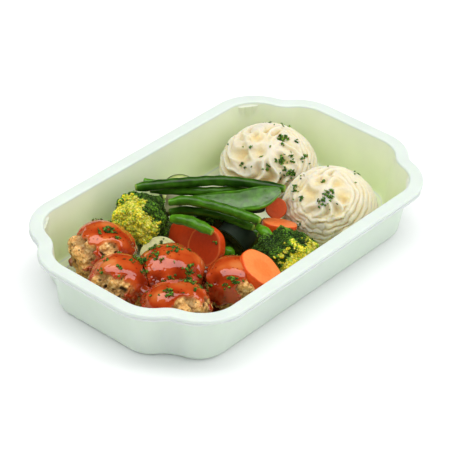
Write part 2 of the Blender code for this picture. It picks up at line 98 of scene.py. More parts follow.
def linear(hexcode):
    """An sRGB hex colour as linear RGBA."""
    shares = [int(hexcode[i : i + 2], 16) / 255 for i in (1, 3, 5)]
    return (*[c / 12.92 if c <= 0.04045 else ((c + 0.055) / 1.055) ** 2.4 for c in shares], 1.0)


def add_node(tree, kind, settings=None, links=None):
    """Adds a shader node, gives it its settings, and joins its inputs to other nodes' outputs."""
    new = tree.nodes.new("ShaderNode" + kind)
    for key, value in (settings or {}).items():
        if key == "stops":
            for place, colour in value[2:]:
                new.color_ramp.elements.new(place)
            for stop, (place, colour) in zip(new.color_ramp.elements, value):
                stop.position = place
                stop.color = linear(colour)
        elif isinstance(key, int) or key in new.inputs:
            new.inputs[key].default_value = value
        else:
            setattr(new, key, value)
    for key, output in (links or {}).items():
        tree.links.new(output, new.inputs[key])
    return new


def start_material(name, settings):
    """A material with its Principled shader's own sockets set."""
    material = bpy.data.materials.new(name)
    material.use_nodes = True
    shader = material.node_tree.nodes["Principled BSDF"]
    for key, value in settings.items():
        shader.inputs[key].default_value = value
    return material, material.node_tree, shader


table_mesh = bpy.data.meshes.new("table")
table_shape = bmesh.new()
bmesh.ops.create_grid(table_shape, x_segments=2, y_segments=2, size=TABLE_HALF_SIDE)
table_shape.to_mesh(table_mesh)
table_shape.free()
table = bpy.data.objects.new("table", table_mesh)
table.location.z = -TABLE_DROP
bpy.context.scene.collection.objects.link(table)

# Laminate, pressed smooth: matt and even, with the faintest cloud, so that only the tray's shadow shows.
laminate, tree, shader = start_material("matt white laminate", {"Roughness": 0.6, "IOR": 1.45})
cloud = add_node(tree, "TexNoise", {"Scale": 40.0, "Detail": 3.0})
tint = add_node(
    tree, "Mix", {"data_type": "RGBA", 6: linear("#f6f7f7"), 7: linear("#fbfbfb")}, {0: cloud.outputs["Fac"]}
)
tree.links.new(tint.outputs[2], shader.inputs["Base Color"])
table_mesh.materials.append(laminate)

# Tray
# One sheet of pale green polypropylene, drawn down into a mould: lobed corners, a flat flange with a rolled
# lip, drafted walls with a stacking lug in each lobe, and a floor with a fine bead round it.
TRAY_LENGTH = 226.2 * MM
TRAY_WIDTH = 137.4 * MM
TRAY_HEIGHT = 34.0 * MM
SHEET = 0.8 * MM
LOBE_RADIUS = 29.0 * MM
LOBE_X = 71.1 * MM
SHOULDER_RADIUS = 26.95 * MM
SHOULDER_Y = 21.45 * MM
NOTCH_RADIUS = 9.5 * MM
FLANGE_WIDTH = 7.9 * MM
LIP_DROP = 3.2 * MM
LIP_ROUND = 0.85 * MM
MOUTH_ROUND = 1.1 * MM
WALL_DRAFT = math.radians(7.6)
# Heights of the points down the wall in millimetres, closest where the lugs' tops are.
WALL_HEIGHTS = (
    32.4, 32.1, 31.95, 31.6, 31.0, 30.0, 29.0, 28.0, 27.0, 26.0, 24.5, 22.0, 18.0, 14.0, 10.0, 6.5,
)
BASE_ROUND = 3.4 * MM
FLOOR_TOP = 1.6 * MM
BEAD_WIDTH = 1.1 * MM
BEAD_RISE = 0.45 * MM
LUG_ANGLE = math.radians(57)  # where in its lobe each stacking lug sits
LUG_TOP = 32.0 * MM
LUG_HALF_WIDTH = 5.9 * MM
LUG_DEPTH = 1.5 * MM
LUG_SLOPE = 0.2
LUG_GROOVE_SPACING = 4.6 * MM
LUG_GROOVE_LENGTH = 5.5 * MM
LUG_GROOVE_WIDTH = 0.5 * MM
LUG_GROOVE_DEPTH = 0.3 * MM


def steps(start, stop, count):
    return [start + (stop - start) * i / count for i in range(count + 1)]


def tray_outline():
    """(point, outward direction, distance round from the lug) round the flange's outer edge."""
    lobe = Vector((LOBE_X, TRAY_WIDTH / 2 - LOBE_RADIUS))
    shoulder = Vector((TRAY_LENGTH / 2 - SHOULDER_RADIUS, SHOULDER_Y))
    between = shoulder - lobe
    reach_lobe = LOBE_RADIUS + NOTCH_RADIUS
    reach_shoulder = SHOULDER_RADIUS + NOTCH_RADIUS
    along = (reach_lobe**2 - reach_shoulder**2 + between.length_squared) / (2 * between.length)
    aside = math.sqrt(reach_lobe**2 - along**2)
    direction = between.normalized()
    notch = lobe + along * direction + aside * Vector((-direction.y, direction.x))
    to_lobe = math.atan2(*(notch - lobe).yx)
    to_shoulder = math.atan2(*(notch - shoulder).yx)
    arcs = [(shoulder, SHOULDER_RADIUS, a) for a in steps(0, to_shoulder, 22)]
    arcs += [(notch, -NOTCH_RADIUS, a) for a in steps(to_shoulder, to_lobe, 16)[1:]]
    arcs += [(lobe, LOBE_RADIUS, a) for a in steps(to_lobe, math.pi / 2, 56)[1:]]
    quarter = []
    for centre, radius, angle in arcs:
        outward = Vector((math.cos(angle), math.sin(angle)))
        from_lug = (angle - LUG_ANGLE) * (LOBE_RADIUS - FLANGE_WIDTH) if centre is lobe else 1.0
        quarter.append((centre + radius * outward, outward, from_lug))
    outline = []
    for sign_x, sign_y in ((1, 1), (-1, 1), (-1, -1), (1, -1)):
        sign = Vector((sign_x, sign_y))
        corner = [(p * sign, n * sign, lug) for p, n, lug in quarter]
        outline += corner if sign_x == sign_y else corner[::-1]
    return outline


def tray_profile():
    """(distance in from the outer edge, height) down the sheet's upper face, from the lip to the floor."""
    lip = TRAY_HEIGHT - LIP_DROP
    points = [(0.0, lip), (0.0, lip + 0.9 * MM), (0.1 * MM, lip + 1.0 * MM), (0.42 * MM, lip + 1.12 * MM)]
    points += [(0.42 * MM, lip + 1.3 * MM), (0.3 * MM, lip + 1.5 * MM), (0.32 * MM, lip + 2.3 * MM)]
    for angle in steps(math.pi, math.pi / 2, 5)[1:]:
        inward = 1.15 * MM + LIP_ROUND * math.cos(angle)
        points.append((inward, TRAY_HEIGHT - LIP_ROUND * (1 - math.sin(angle))))
    points += [(share * FLANGE_WIDTH, TRAY_HEIGHT) for share in (0.3, 0.5, 0.7)]
    for angle in steps(math.pi / 2, WALL_DRAFT, 6):
        inward = FLANGE_WIDTH - MOUTH_ROUND + MOUTH_ROUND * math.cos(angle)
        points.append((inward, TRAY_HEIGHT - MOUTH_ROUND + MOUTH_ROUND * math.sin(angle)))
    start_in, start_up = points[-1]
    foot = SHEET + BASE_ROUND * (1 - math.sin(WALL_DRAFT))
    for height in WALL_HEIGHTS:
        points.append((start_in + (start_up - height * MM) * math.tan(WALL_DRAFT), height * MM))
    wall_in = start_in + (start_up - foot) * math.tan(WALL_DRAFT)
    centre_in = wall_in + BASE_ROUND * math.cos(WALL_DRAFT)
    for angle in steps(WALL_DRAFT, math.pi / 2, 7):
        points.append((centre_in - BASE_ROUND * math.cos(angle), SHEET + BASE_ROUND * (1 - math.sin(angle))))
    points += [(centre_in + 1.2 * MM, SHEET), (centre_in + 1.9 * MM, FLOOR_TOP)]
    bead_in = centre_in + 2.4 * MM
    for share in (0.0, 0.15, 0.35, 0.5, 0.65, 0.85, 1.0):
        points.append((bead_in + share * BEAD_WIDTH, FLOOR_TOP + BEAD_RISE * math.sin(math.pi * share)))
    points.append((bead_in + 4 * BEAD_WIDTH, FLOOR_TOP))
    return points


def lug_depth(height, aside):
    """How far a stacking lug stands in from the wall, with two short grooves down its face."""
    across = 1 - (aside / LUG_HALF_WIDTH) ** 2
    if across <= 0 or height > LUG_TOP:
        return 0.0
    depth = LUG_DEPTH * math.sqrt(across) - LUG_SLOPE * (LUG_TOP - height)
    for groove in (-LUG_GROOVE_SPACING / 2, LUG_GROOVE_SPACING / 2):
        if height > LUG_TOP - LUG_GROOVE_LENGTH:
            depth -= LUG_GROOVE_DEPTH * math.exp(-(((aside - groove) / LUG_GROOVE_WIDTH) ** 2))
    return max(0.0, depth)


def make_piece(name, vertices, faces, materials, nodes):
    """A smooth mesh piece that rides with the meal and stands for the CAD nodes named."""
    mesh = bpy.data.meshes.new(name)
    mesh.from_pydata(vertices, [], faces)
    mesh.shade_smooth()
    for material in materials:
        mesh.materials.append(material)
    piece = bpy.data.objects.new(name, mesh)
    bpy.context.scene.collection.objects.link(piece)
    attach(piece, "root")
    if nodes:
        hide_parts(*nodes)
    return piece


def keep_on_points(piece, name, values):
    """Keeps one number or one colour for each of a piece's points, for its material to read."""
    if isinstance(values[0], Vector):
        colours = piece.data.attributes.new(name, "FLOAT_COLOR", "POINT")
        colours.data.foreach_set("color", [share for colour in values for share in (*colour, 1.0)])
    else:
        piece.data.attributes.new(name, "FLOAT", "POINT").data.foreach_set("value", values)


def close_ring(first, second, count):
    """Quads between two rings of points, given by their first indices."""
    return [(first + i, first + (i + 1) % count, second + (i + 1) % count, second + i) for i in range(count)]


def pigment(hexcode):
    """A colour as a vector, so that shades of it can be mixed point by point."""
    return Vector(linear(hexcode)[:3])


def grain_surface(tree, shader, colour, grain, shades, relief, strength, height):
    """Shades a colour with one grain, lets another stand out as a fine bump, and returns the colour."""
    low, high = shades
    shade = add_node(
        tree, "MapRange", {"From Min": 0.3, "From Max": 0.7, "To Min": low, "To Max": high},
        {0: grain.outputs["Fac"]},
    )
    tint = add_node(
        tree, "Mix", {"data_type": "RGBA", "blend_type": "MULTIPLY", 0: 1.0}, {6: colour, 7: shade.outputs[0]}
    )
    bump = add_node(
        tree, "Bump", {"Strength": strength, "Distance": height}, {"Height": relief.outputs["Fac"]}
    )
    tree.links.new(bump.outputs[0], shader.inputs["Normal"])
    return tint.outputs[2]


outline = tray_outline()
upper = tray_profile()
lower = []
for i, (inset, height) in enumerate(upper):
    before = Vector(upper[max(i - 1, 0)])
    after = Vector(upper[min(i + 1, len(upper) - 1)])
    run = (after - before).normalized()
    lower.append((inset + run.y * SHEET, height - run.x * SHEET))
section = upper + lower[::-1]
vertices = []
for inset, height in section:
    for point, outward, from_lug in outline:
        spot = point - (inset + lug_depth(height, from_lug)) * outward
        vertices.append((spot.x, spot.y, max(height, 0.0)))
ring = len(outline)
faces = []
for row in range(len(section)):
    if row != len(upper) - 1:
        faces += close_ring(row * ring, ((row + 1) % len(section)) * ring, ring)
faces.append(tuple(range((len(upper) - 1) * ring, len(upper) * ring)))
faces.append(tuple(range(len(upper) * ring, (len(upper) + 1) * ring))[::-1])

# Polypropylene from the mould: satin, a little waxy, and thin enough that light soaks through the walls.
plastic, tree, shader = start_material(
    "polypropylene, thermoformed",
    {"Roughness": 0.38, "IOR": 1.49, "Subsurface Weight": 0.35, "Subsurface Scale": 0.004},
)
shader.inputs["Subsurface Radius"].default_value = (0.7, 1.0, 0.45)
place = add_node(tree, "TexCoord").outputs["Object"]
paint = add_node(tree, "Attribute", {"attribute_name": "sheet_tint"})
flow_marks = add_node(tree, "TexNoise", {"Scale": 0.06 / MM, "Detail": 4.0}, {"Vector": place})
haze = add_node(tree, "TexNoise", {"Scale": 1.8 / MM, "Detail": 2.0}, {"Vector": place})
sheet = grain_surface(tree, shader, paint.outputs["Color"], flow_marks, (0.97, 1.03), haze, 0.12, 0.05 * MM)
tree.links.new(sheet, shader.inputs["Base Color"])

tray = make_piece("tray_moulded", vertices, faces, [plastic], ["tray"])
# The one sheet has light and shade painted into its colour: the outside darker and greyer as painted shade,
# and the inside paler and a warmer yellow green, greener still towards the floor, as painted light that soaks
# through and bounces round the walls. The flange and the floor's bead are a pale grey green.
RIM_TINT = pigment("#ced8d0")
OUTSIDE_SHADE_TINT = pigment("#c8d6c8")
INSIDE_TOP_GLOW_TINT = pigment("#dfe7cd")
INSIDE_FLOOR_GLOW_TINT = pigment("#dce9bd")
BEAD_EDGE = 0.1 * MM  # how much of the bead's foot keeps the floor's colour
tints = []
for row, (inset, height) in enumerate(section):
    on_bead = FLOOR_TOP + BEAD_EDGE < height < FLOOR_TOP + BEAD_RISE + BEAD_EDGE
    if row >= len(upper):
        colour = OUTSIDE_SHADE_TINT
    elif inset < FLANGE_WIDTH or on_bead:
        colour = RIM_TINT
    else:
        colour = INSIDE_FLOOR_GLOW_TINT.lerp(INSIDE_TOP_GLOW_TINT, min(1.0, max(0.0, height / TRAY_HEIGHT)) ** 1.2)
    tints += [colour] * ring
keep_on_points(tray, "sheet_tint", tints)

# Meatballs
# Minced pork and beef rolled into balls and baked brown, so that the outside is craggy, then coated with a
# glossy tomato glaze that pools on top and runs down the sides in sheets and drips.
GAP = 0.3 * MM
REST = FLOOR_TOP + GAP
WALL_FOOT = 6 * MM  # below this height the wall curves into the floor
# Each round clump of food that leans on a neighbour: its middle and its half-width, in millimetres.
CLUMPS = {
    "meatball_1": ((-66.0, 31.7, 17.0), 18.3),
    "meatball_2": ((-80.1, 6.5, 16.5), 16.6),
    "meatball_3": ((-56.8, -7.5, 17.0), 18.6),
    "meatball_4": ((-77.6, -30.7, 17.0), 18.8),
    "meatball_5": ((-39.8, -36.2, 16.5), 15.8),
    "broccoli_1": ((-28.9, 38.5, 17.0), 15.8),
    "broccoli_2": ((0.7, -39.3, 15.5), 18.5),
    "mash_1": ((64.8, 25.6, 12.0), 28.2),
    "mash_2": ((55.5, -25.5, 12.0), 27.0),
}
# Half-height in millimetres, seed, and where the glaze ends, as an angle from the top.
MEATBALLS = {
    "meatball_1": (15.6, 3, 100),
    "meatball_2": (15.2, 8, 98),
    "meatball_3": (15.6, 14, 114),
    "meatball_4": (15.6, 21, 90),
    "meatball_5": (15.0, 34, 112),
}
# Bare meat: compass angle, angle from the top, half-width and half-height of each patch in degrees.
BARE_PATCHES = {
    "meatball_1": [(162, 66, 48, 29), (-121, 47, 22, 14), (100, 74, 40, 18)],
    "meatball_2": [(-164, 64, 46, 26), (-50, 62, 14, 15), (80, 74, 40, 16)],
    "meatball_3": [(40, 74, 36, 14)],
    "meatball_4": [(-112, 42, 34, 17), (-98, 66, 62, 16), (60, 76, 50, 14)],
    "meatball_5": [(-98, 66, 32, 22), (120, 78, 40, 14)],
}
# The size across of each kind of relief, and how high it stands or how deep it goes.
BULGE, BULGE_HEIGHT = 14 * MM, 1.0 * MM
CRAG, CRAG_DEPTH = 8.5 * MM, 2.4 * MM
GRANULE, GRANULE_DEPTH = 2.4 * MM, 0.75 * MM  # one crumb of mince
CRUMB, CRUMB_HEIGHT = 1.1 * MM, 0.28 * MM
PIT, PIT_DEPTH = 3.6 * MM, 1.1 * MM
WAVE, WAVE_HEIGHT = 8.5 * MM, 0.5 * MM
RIPPLE, RIPPLE_HEIGHT = 3.8 * MM, 0.05 * MM
NUBS = 9 * MM  # patches low down where the mince shows through the glaze
RUN = 8.0 * MM  # thicker and thinner runs of glaze
GLAZE_THICKNESS = 0.9 * MM


def contact_planes(name):
    """(point, direction) of the flat contact with each neighbour."""
    centre, half_width = CLUMPS[name]
    centre = Vector(centre) * MM
    reach = half_width * MM
    planes = []
    for other, (other_centre, other_half_width) in CLUMPS.items():
        apart = Vector(other_centre) * MM - centre
        overlap = reach + other_half_width * MM - apart.length
        if other != name and overlap > -GAP:
            planes.append((centre + (reach - overlap / 2 - GAP / 2) * apart.normalized(), apart.normalized()))
    return planes


outline_tree = KDTree(len(outline))
for i, (point, _, _) in enumerate(outline):
    outline_tree.insert((point.x, point.y, 0.0), i)
outline_tree.balance()


def settle(point, planes):
    """Keeps a point of a piece of food off its neighbours, the tray's floor and the tray's wall."""
    for origin, direction in planes:
        past = (point - origin).dot(direction)
        if past > 0:
            point = point - past * direction
    wall = FLANGE_WIDTH + (TRAY_HEIGHT - point.z) * math.tan(WALL_DRAFT) + SHEET
    if point.z < WALL_FOOT:
        wall += (WALL_FOOT - point.z) * 0.5
    edge, outward, _ = outline[outline_tree.find((point.x, point.y, 0.0))[1]]
    past = wall - (edge - point.xy).dot(outward)
    if past > 0:
        point.x -= past * outward.x
        point.y -= past * outward.y
    point.z = max(point.z, REST)
    return point


def lumps(point, cell, depth, seed):
    """Rounded clumps with creases between them: 0 at a clump's middle and -depth in a crease."""
    crease = 0.62  # cells from a clump's middle
    nearest = noise.voronoi(point / cell + Vector((seed, seed * 0.37, seed * 0.11)))[0]
    return -depth * min(1.0, nearest[0] / crease) ** 2


def within(value):
    """The value, or 0 or 1 where it lies past them."""
    return max(0.0, min(1.0, value))


def smooth_step(low, high, value):
    share = within((value - low) / (high - low))
    return share * share * (3 - 2 * share)


def sphere_grid(level):
    """Directions and faces of an even sphere."""
    shape = bmesh.new()
    bmesh.ops.create_icosphere(shape, subdivisions=level, radius=1.0)
    directions = [vert.co.normalized() for vert in shape.verts]
    faces = [tuple(vert.index for vert in face.verts) for face in shape.faces]
    shape.free()
    return directions, faces


def glaze_cover(name, direction):
    """How far inside the glaze's edge this place is, in degrees: below 0 is bare meat."""
    _, seed, glaze_end = MEATBALLS[name]
    lean = math.degrees(math.acos(max(-1.0, min(1.0, direction.z))))
    compass = math.degrees(math.atan2(direction.y, direction.x))
    wander = noise.noise(direction * 2.2 + Vector((seed, 0, 5)))
    drip = max(0.0, noise.noise(Vector((compass / 16.0, seed * 1.7, 0)))) * 44
    inside = glaze_end + 16 * wander + drip - 14 - lean
    fray = 0.26 * noise.noise(direction * 5.0 + Vector((0, seed, 0))) + 0.07 * noise.noise(direction * 13)
    for patch_compass, patch_lean, half_width, half_height in BARE_PATCHES[name]:
        turn = (compass - patch_compass + 180) % 360 - 180
        turn *= math.sin(math.radians(lean)) / max(0.35, math.sin(math.radians(patch_lean)))
        reach = math.hypot(turn / half_width, (lean - patch_lean) / half_height) + fray
        inside = min(inside, (reach - 1) * min(half_width, half_height))
    return inside


# Mince, baked brown: rough, crumbly and tan, with painted shade in its pits and creases, and flecks of herb.
# Glaze, a reduced tomato sauce: glossy as syrup, amber where it is thin and deep red where it is thick.
meat_and_glaze, tree, shader = start_material(
    "baked mince under tomato glaze",
    {
        "IOR": 1.45, "Coat IOR": 1.5, "Coat Roughness": 0.045,
        "Subsurface Weight": 0.06, "Subsurface Scale": 0.0015,
    },
)
shader.inputs["Subsurface Radius"].default_value = (1.0, 0.35, 0.15)
place = add_node(tree, "TexCoord").outputs["Object"]
cover = add_node(tree, "Attribute", {"attribute_name": "glaze"}).outputs["Fac"]
depth = add_node(tree, "Attribute", {"attribute_name": "pit"}).outputs["Fac"]
layer = add_node(tree, "Attribute", {"attribute_name": "syrup"}).outputs["Fac"]
grain = add_node(
    tree, "TexNoise", {"Scale": 1 / (2.0 * MM), "Detail": 6.0, "Roughness": 0.7}, {"Vector": place}
)
broad = add_node(tree, "TexNoise", {"Scale": 1 / (9 * MM), "Detail": 3.0}, {"Vector": place})
fleck_spots = add_node(tree, "TexVoronoi", {"Scale": 1 / (3.1 * MM)}, {"Vector": place})
fleck = add_node(
    tree, "MapRange", {"From Min": 0.20, "From Max": 0.12, "To Min": 0.0, "To Max": 0.85},
    {0: fleck_spots.outputs["Distance"]},
)
meat = add_node(
    tree, "ValToRGB",
    {"stops": [(0.28, "#8e5e26"), (0.42, "#d6a256"), (0.54, "#f2cc84"), (0.70, "#fdecc0")]},
    {"Fac": grain.outputs["Fac"]},
)
warm = add_node(
    tree, "Mix", {"data_type": "RGBA", "blend_type": "MULTIPLY", 7: linear("#f2d2ac")},
    {6: meat.outputs["Color"], 0: broad.outputs["Fac"]},
)
# Painted shade: the pits and the deep creases of the mince are darkened towards dark brown.
pits = add_node(tree, "Mix", {"data_type": "RGBA", 7: linear("#44280f")}, {6: warm.outputs[2], 0: depth})
herbed = add_node(
    tree, "Mix", {"data_type": "RGBA", 7: linear("#333a18")}, {6: pits.outputs[2], 0: fleck.outputs[0]}
)
syrup = add_node(
    tree, "ValToRGB",
    {"stops": [(0.05, "#d07c42"), (0.28, "#c65a24"), (0.55, "#b23e14"), (0.92, "#842407")]},
    {"Fac": layer},
)
syrup_fleck = add_node(
    tree, "Mix", {"data_type": "RGBA", "blend_type": "MULTIPLY", 7: linear("#b4805c")},
    {6: syrup.outputs["Color"], 0: fleck.outputs[0]},
)
skin = add_node(
    tree, "Mix", {"data_type": "RGBA"}, {6: herbed.outputs[2], 7: syrup_fleck.outputs[2], 0: cover}
)
tree.links.new(skin.outputs[2], shader.inputs["Base Color"])
shine = add_node(
    tree, "MapRange", {"From Min": 0.0, "From Max": 1.0, "To Min": 0.5, "To Max": 0.1}, {0: cover}
)
tree.links.new(shine.outputs[0], shader.inputs["Roughness"])
tree.links.new(cover, shader.inputs["Coat Weight"])
crumbly = add_node(
    tree, "MapRange", {"From Min": 0.0, "From Max": 0.8, "To Min": 0.8, "To Max": 0.0}, {0: cover}
)
bump = add_node(
    tree, "Bump", {"Distance": 0.5 * MM}, {"Height": grain.outputs["Fac"], "Strength": crumbly.outputs[0]}
)
tree.links.new(bump.outputs[0], shader.inputs["Normal"])

ball_directions, ball_faces = sphere_grid(7)
for name, (half_height, seed, _) in MEATBALLS.items():
    centre, half_width = CLUMPS[name]
    middle = Vector(centre) * MM
    planes = contact_planes(name)
    vertices = []
    covers = []
    pit_shades = []
    layers = []
    for direction in ball_directions:
        offset = Vector((direction.x * half_width, direction.y * half_width, direction.z * half_height)) * MM
        swell = BULGE_HEIGHT * (0.5 + noise.noise(offset / BULGE + Vector((seed, 0, 0))))
        crags = lumps(offset, CRAG, CRAG_DEPTH, seed)
        inside = glaze_cover(name, direction)
        glazed = smooth_step(-1.0, 2.0, inside)
        granules = lumps(offset, GRANULE, GRANULE_DEPTH, seed + 5)
        crumbs = CRUMB_HEIGHT * noise.fractal(offset / CRUMB, 0.8, 2.1, 3)
        hollow = smooth_step(0.22, 0.55, noise.noise(offset / PIT + Vector((0, seed, 0))))
        meat_relief = crags + granules + crumbs - PIT_DEPTH * hollow
        rim = smooth_step(0.0, 7.0, inside)
        flow = Vector((offset.x, offset.y, offset.z * 0.5))
        wave = noise.noise(flow / WAVE + Vector((seed, 3, 0)))
        ripple = noise.noise(flow / RIPPLE + Vector((0, seed, 7)))
        low_down = smooth_step(0.9, 0.4, direction.z)
        nubs = smooth_step(-0.25, 0.25, noise.noise(offset / NUBS + Vector((7, 0, seed)))) * low_down
        glaze_relief = (0.10 + 0.26 * nubs) * crags + 0.62 * nubs * granules - GLAZE_THICKNESS
        glaze_relief += GLAZE_THICKNESS * (0.45 + 0.75 * rim) + WAVE_HEIGHT * wave + RIPPLE_HEIGHT * ripple
        relief = swell + meat_relief * (1 - glazed) + glaze_relief * glazed
        vertices.append(settle(middle + offset + relief * direction, planes))
        covers.append(glazed)
        # How much painted shade each place gets: most in the pits and the deep creases.
        pit_shades.append(min(1.0, 0.7 * hollow + smooth_step(1.2 * MM, 3.0 * MM, -meat_relief) * 0.5))
        thick = 0.20 + 0.50 * noise.noise(flow / RUN + Vector((seed, 9, 2))) + 0.12 * rim
        thick += 0.16 * smooth_step(0.6 * MM, 2.4 * MM, -crags) + 0.42 * (1 - direction.z)
        layers.append(within(thick))
    ball = make_piece(name + "_dressed", vertices, ball_faces, [meat_and_glaze], [name])
    keep_on_points(ball, "glaze", covers)
    keep_on_points(ball, "pit", pit_shades)
    keep_on_points(ball, "syrup", layers)

# Mash
# Boiled potato mashed smooth with milk and butter, piped warm from a star nozzle: crests wind out from the
# middle with soft hollows between them, and the near heap was piped in coils before its rosette.
MASH_HEAPS = {
    "mash_1": {"half_height": 24.6, "flutes": 12, "seed": 2.0},
    "mash_2": {"half_height": 23.6, "flutes": 10, "seed": 9.0},
}
# Where each rosette was started: its compass angle and its angle from the top.
MASH_POLES = {"mash_1": (-151, 30), "mash_2": (-160, 33)}
# Soft bowls left between the folds: compass angle, angle from the top, half-width in degrees, depth in mm.
MASH_BOWLS = {
    "mash_1": [
        (166, 48, 15, 3.4), (-176, 16, 9, 2.2), (-163, 34, 9, 2.4), (-118, 44, 11, 2.0), (150, 20, 9, 1.6),
        (130, 86, 6, 3.2), (116, 72, 6, 3.8), (95, 51, 6, 3.2), (-12, 47, 5, 2.0),
    ],
    "mash_2": [
        (143, 43, 11, 2.4), (172, 38, 12, 2.6), (167, 16, 9, 1.6), (-120, 16, 10, 1.8), (-118, 34, 9, 1.6),
    ],
}
FLUTE_DEPTH = 5.0 * MM
CREST_ROUND = 0.045  # 0 would make each crest a knife edge
FLUTE_WIND = 1.5  # turns in radians for each radian from the pole
# Rings round the pole, left by the nozzle's teeth: how far out they start and the compass side they show on.
RINGS_FROM = {"mash_1": 42.0, "mash_2": 30.0}
RINGS_SIDE = {"mash_1": (-60.0, 75.0), "mash_2": (-130.0, 150.0)}
RING_PITCH = 3.5  # millimetres
RING_DEPTH = 1.15 * MM
CRINKLED_SIDE = -178.0  # compass angle where the rings are cracked across
SHARP_SIDE = -142.0  # compass angle where the crests are sharpest
# Mashed potato, piped: moist, dense and cream white; painted shade turns it butter yellow in the hollows.
mash_material, tree, shader = start_material(
    "mashed potato, piped",
    {"Roughness": 0.38, "IOR": 1.36, "Subsurface Weight": 0.85, "Subsurface Scale": 0.005},
)
shader.inputs["Subsurface Radius"].default_value = (1.0, 0.75, 0.4)
place = add_node(tree, "TexCoord").outputs["Object"]
hollow = add_node(tree, "Attribute", {"attribute_name": "hollow"})
# Painted shade: cream on the crests, and butter yellow the deeper a place sinks.
butter = add_node(
    tree, "ValToRGB", {"stops": [(0.0, "#d8d3c1"), (0.45, "#dacea6"), (1.0, "#e0c47c")]},
    {"Fac": hollow.outputs["Fac"]},
)
grain = add_node(
    tree, "TexNoise", {"Scale": 1 / (1.2 * MM), "Detail": 5.0, "Roughness": 0.6}, {"Vector": place}
)
potato = grain_surface(tree, shader, butter.outputs["Color"], grain, (0.95, 1.04), grain, 0.35, 0.3 * MM)
tree.links.new(potato, shader.inputs["Base Color"])


def compass_direction(compass, lean):
    turn, tilt = math.radians(compass), math.radians(lean)
    return Vector((math.sin(tilt) * math.cos(turn), math.sin(tilt) * math.sin(turn), math.cos(tilt)))


def from_side(compass, side, half_width):
    """1 on the side of a heap that faces the compass angle, falling to 0 at half_width from it."""
    away = abs((compass - side + 180) % 360 - 180)
    return smooth_step(half_width, half_width * 0.6, away)


def mash_fold(name, heap, direction):
    """How far the mash lies below its plain heap, in metres, and how much painted shade it gets there, 0 to 1.
    """
    seed = heap["seed"]
    pole = compass_direction(*MASH_POLES[name])
    local = pole.rotation_difference(Vector((0, 0, 1))) @ direction
    away = math.acos(max(-1.0, min(1.0, local.z)))
    turn = math.atan2(local.y, local.x)
    compass = math.degrees(math.atan2(direction.y, direction.x))
    drift = noise.noise(direction * 1.6 + Vector((seed, 0, 0)))
    wander = noise.noise(direction * 3.4 + Vector((0, seed, 0)))
    phase = heap["flutes"] * (turn + FLUTE_WIND * away + 0.35 * math.sin(3.1 * away + seed)) / math.tau
    phase += 0.75 * drift + 0.45 * wander
    sharp = math.sqrt(math.sin(math.pi * phase) ** 2 + CREST_ROUND) - math.sqrt(CREST_ROUND)
    round_fold = 1 - abs(math.cos(math.pi * phase)) ** 0.6
    spread = smooth_step(0.10, 0.55, away)
    strength = 0.85 + 0.6 * noise.noise(direction * 2.4 + Vector((0, 0, seed)))
    flutes = round_fold + (sharp - round_fold) * from_side(compass, SHARP_SIDE, 125.0)
    flutes *= spread * strength
    start = math.radians(RINGS_FROM[name])
    ringed = smooth_step(start * 0.85, start * 1.15, away) * from_side(compass, *RINGS_SIDE[name])
    crinkled = ringed * from_side(compass, CRINKLED_SIDE, 80.0) * (name == "mash_2")
    ring = away * CLUMPS[name][1] / RING_PITCH + 0.85 * drift + 0.5 * wander
    ring += crinkled * (0.45 * noise.noise(direction * 7.5) + 0.2 * noise.noise(direction * 17))
    along = ring - math.floor(ring)
    groove = math.exp(-((min(along, 1 - along) / 0.17) ** 2)) + 0.45 * (1 - along) ** 1.5
    groove *= 0.8 + 0.6 * noise.noise(direction * 5 + Vector((seed, seed, 0)))
    row = math.floor(ring)
    block = noise.noise(Vector((turn * 3.4 + 5.3 * row, row * 3.7, seed)))
    crack = smooth_step(0.10, 0.0, abs(block - 0.08)) * crinkled
    depth = FLUTE_DEPTH * flutes * (1 - 0.9 * ringed) + RING_DEPTH * groove * ringed
    depth += (0.45 * crack + 1.3 * block * crinkled) * MM
    # Painted shade: the flutes' hollows, the rings' grooves, the cracks and the bowls are painted yellower.
    sunk = flutes * (1 - 0.85 * ringed) + 0.5 * groove * ringed + 0.2 * crack
    for bowl_compass, bowl_lean, half_width, bowl_depth in MASH_BOWLS[name]:
        off = math.degrees(direction.angle(compass_direction(bowl_compass, bowl_lean))) * (1 + 0.35 * wander)
        bowl = math.exp(-((off / half_width) ** 2) * 1.3)
        lip = math.exp(-(((off - half_width * 1.25) / (half_width * 0.38)) ** 2))
        depth = depth * (1 - 0.8 * bowl) * (1 - 0.65 * lip) + bowl * bowl_depth * MM
        sunk = sunk * (1 - 0.8 * bowl) * (1 - 0.65 * lip) + 0.75 * bowl
    return depth, within(sunk)


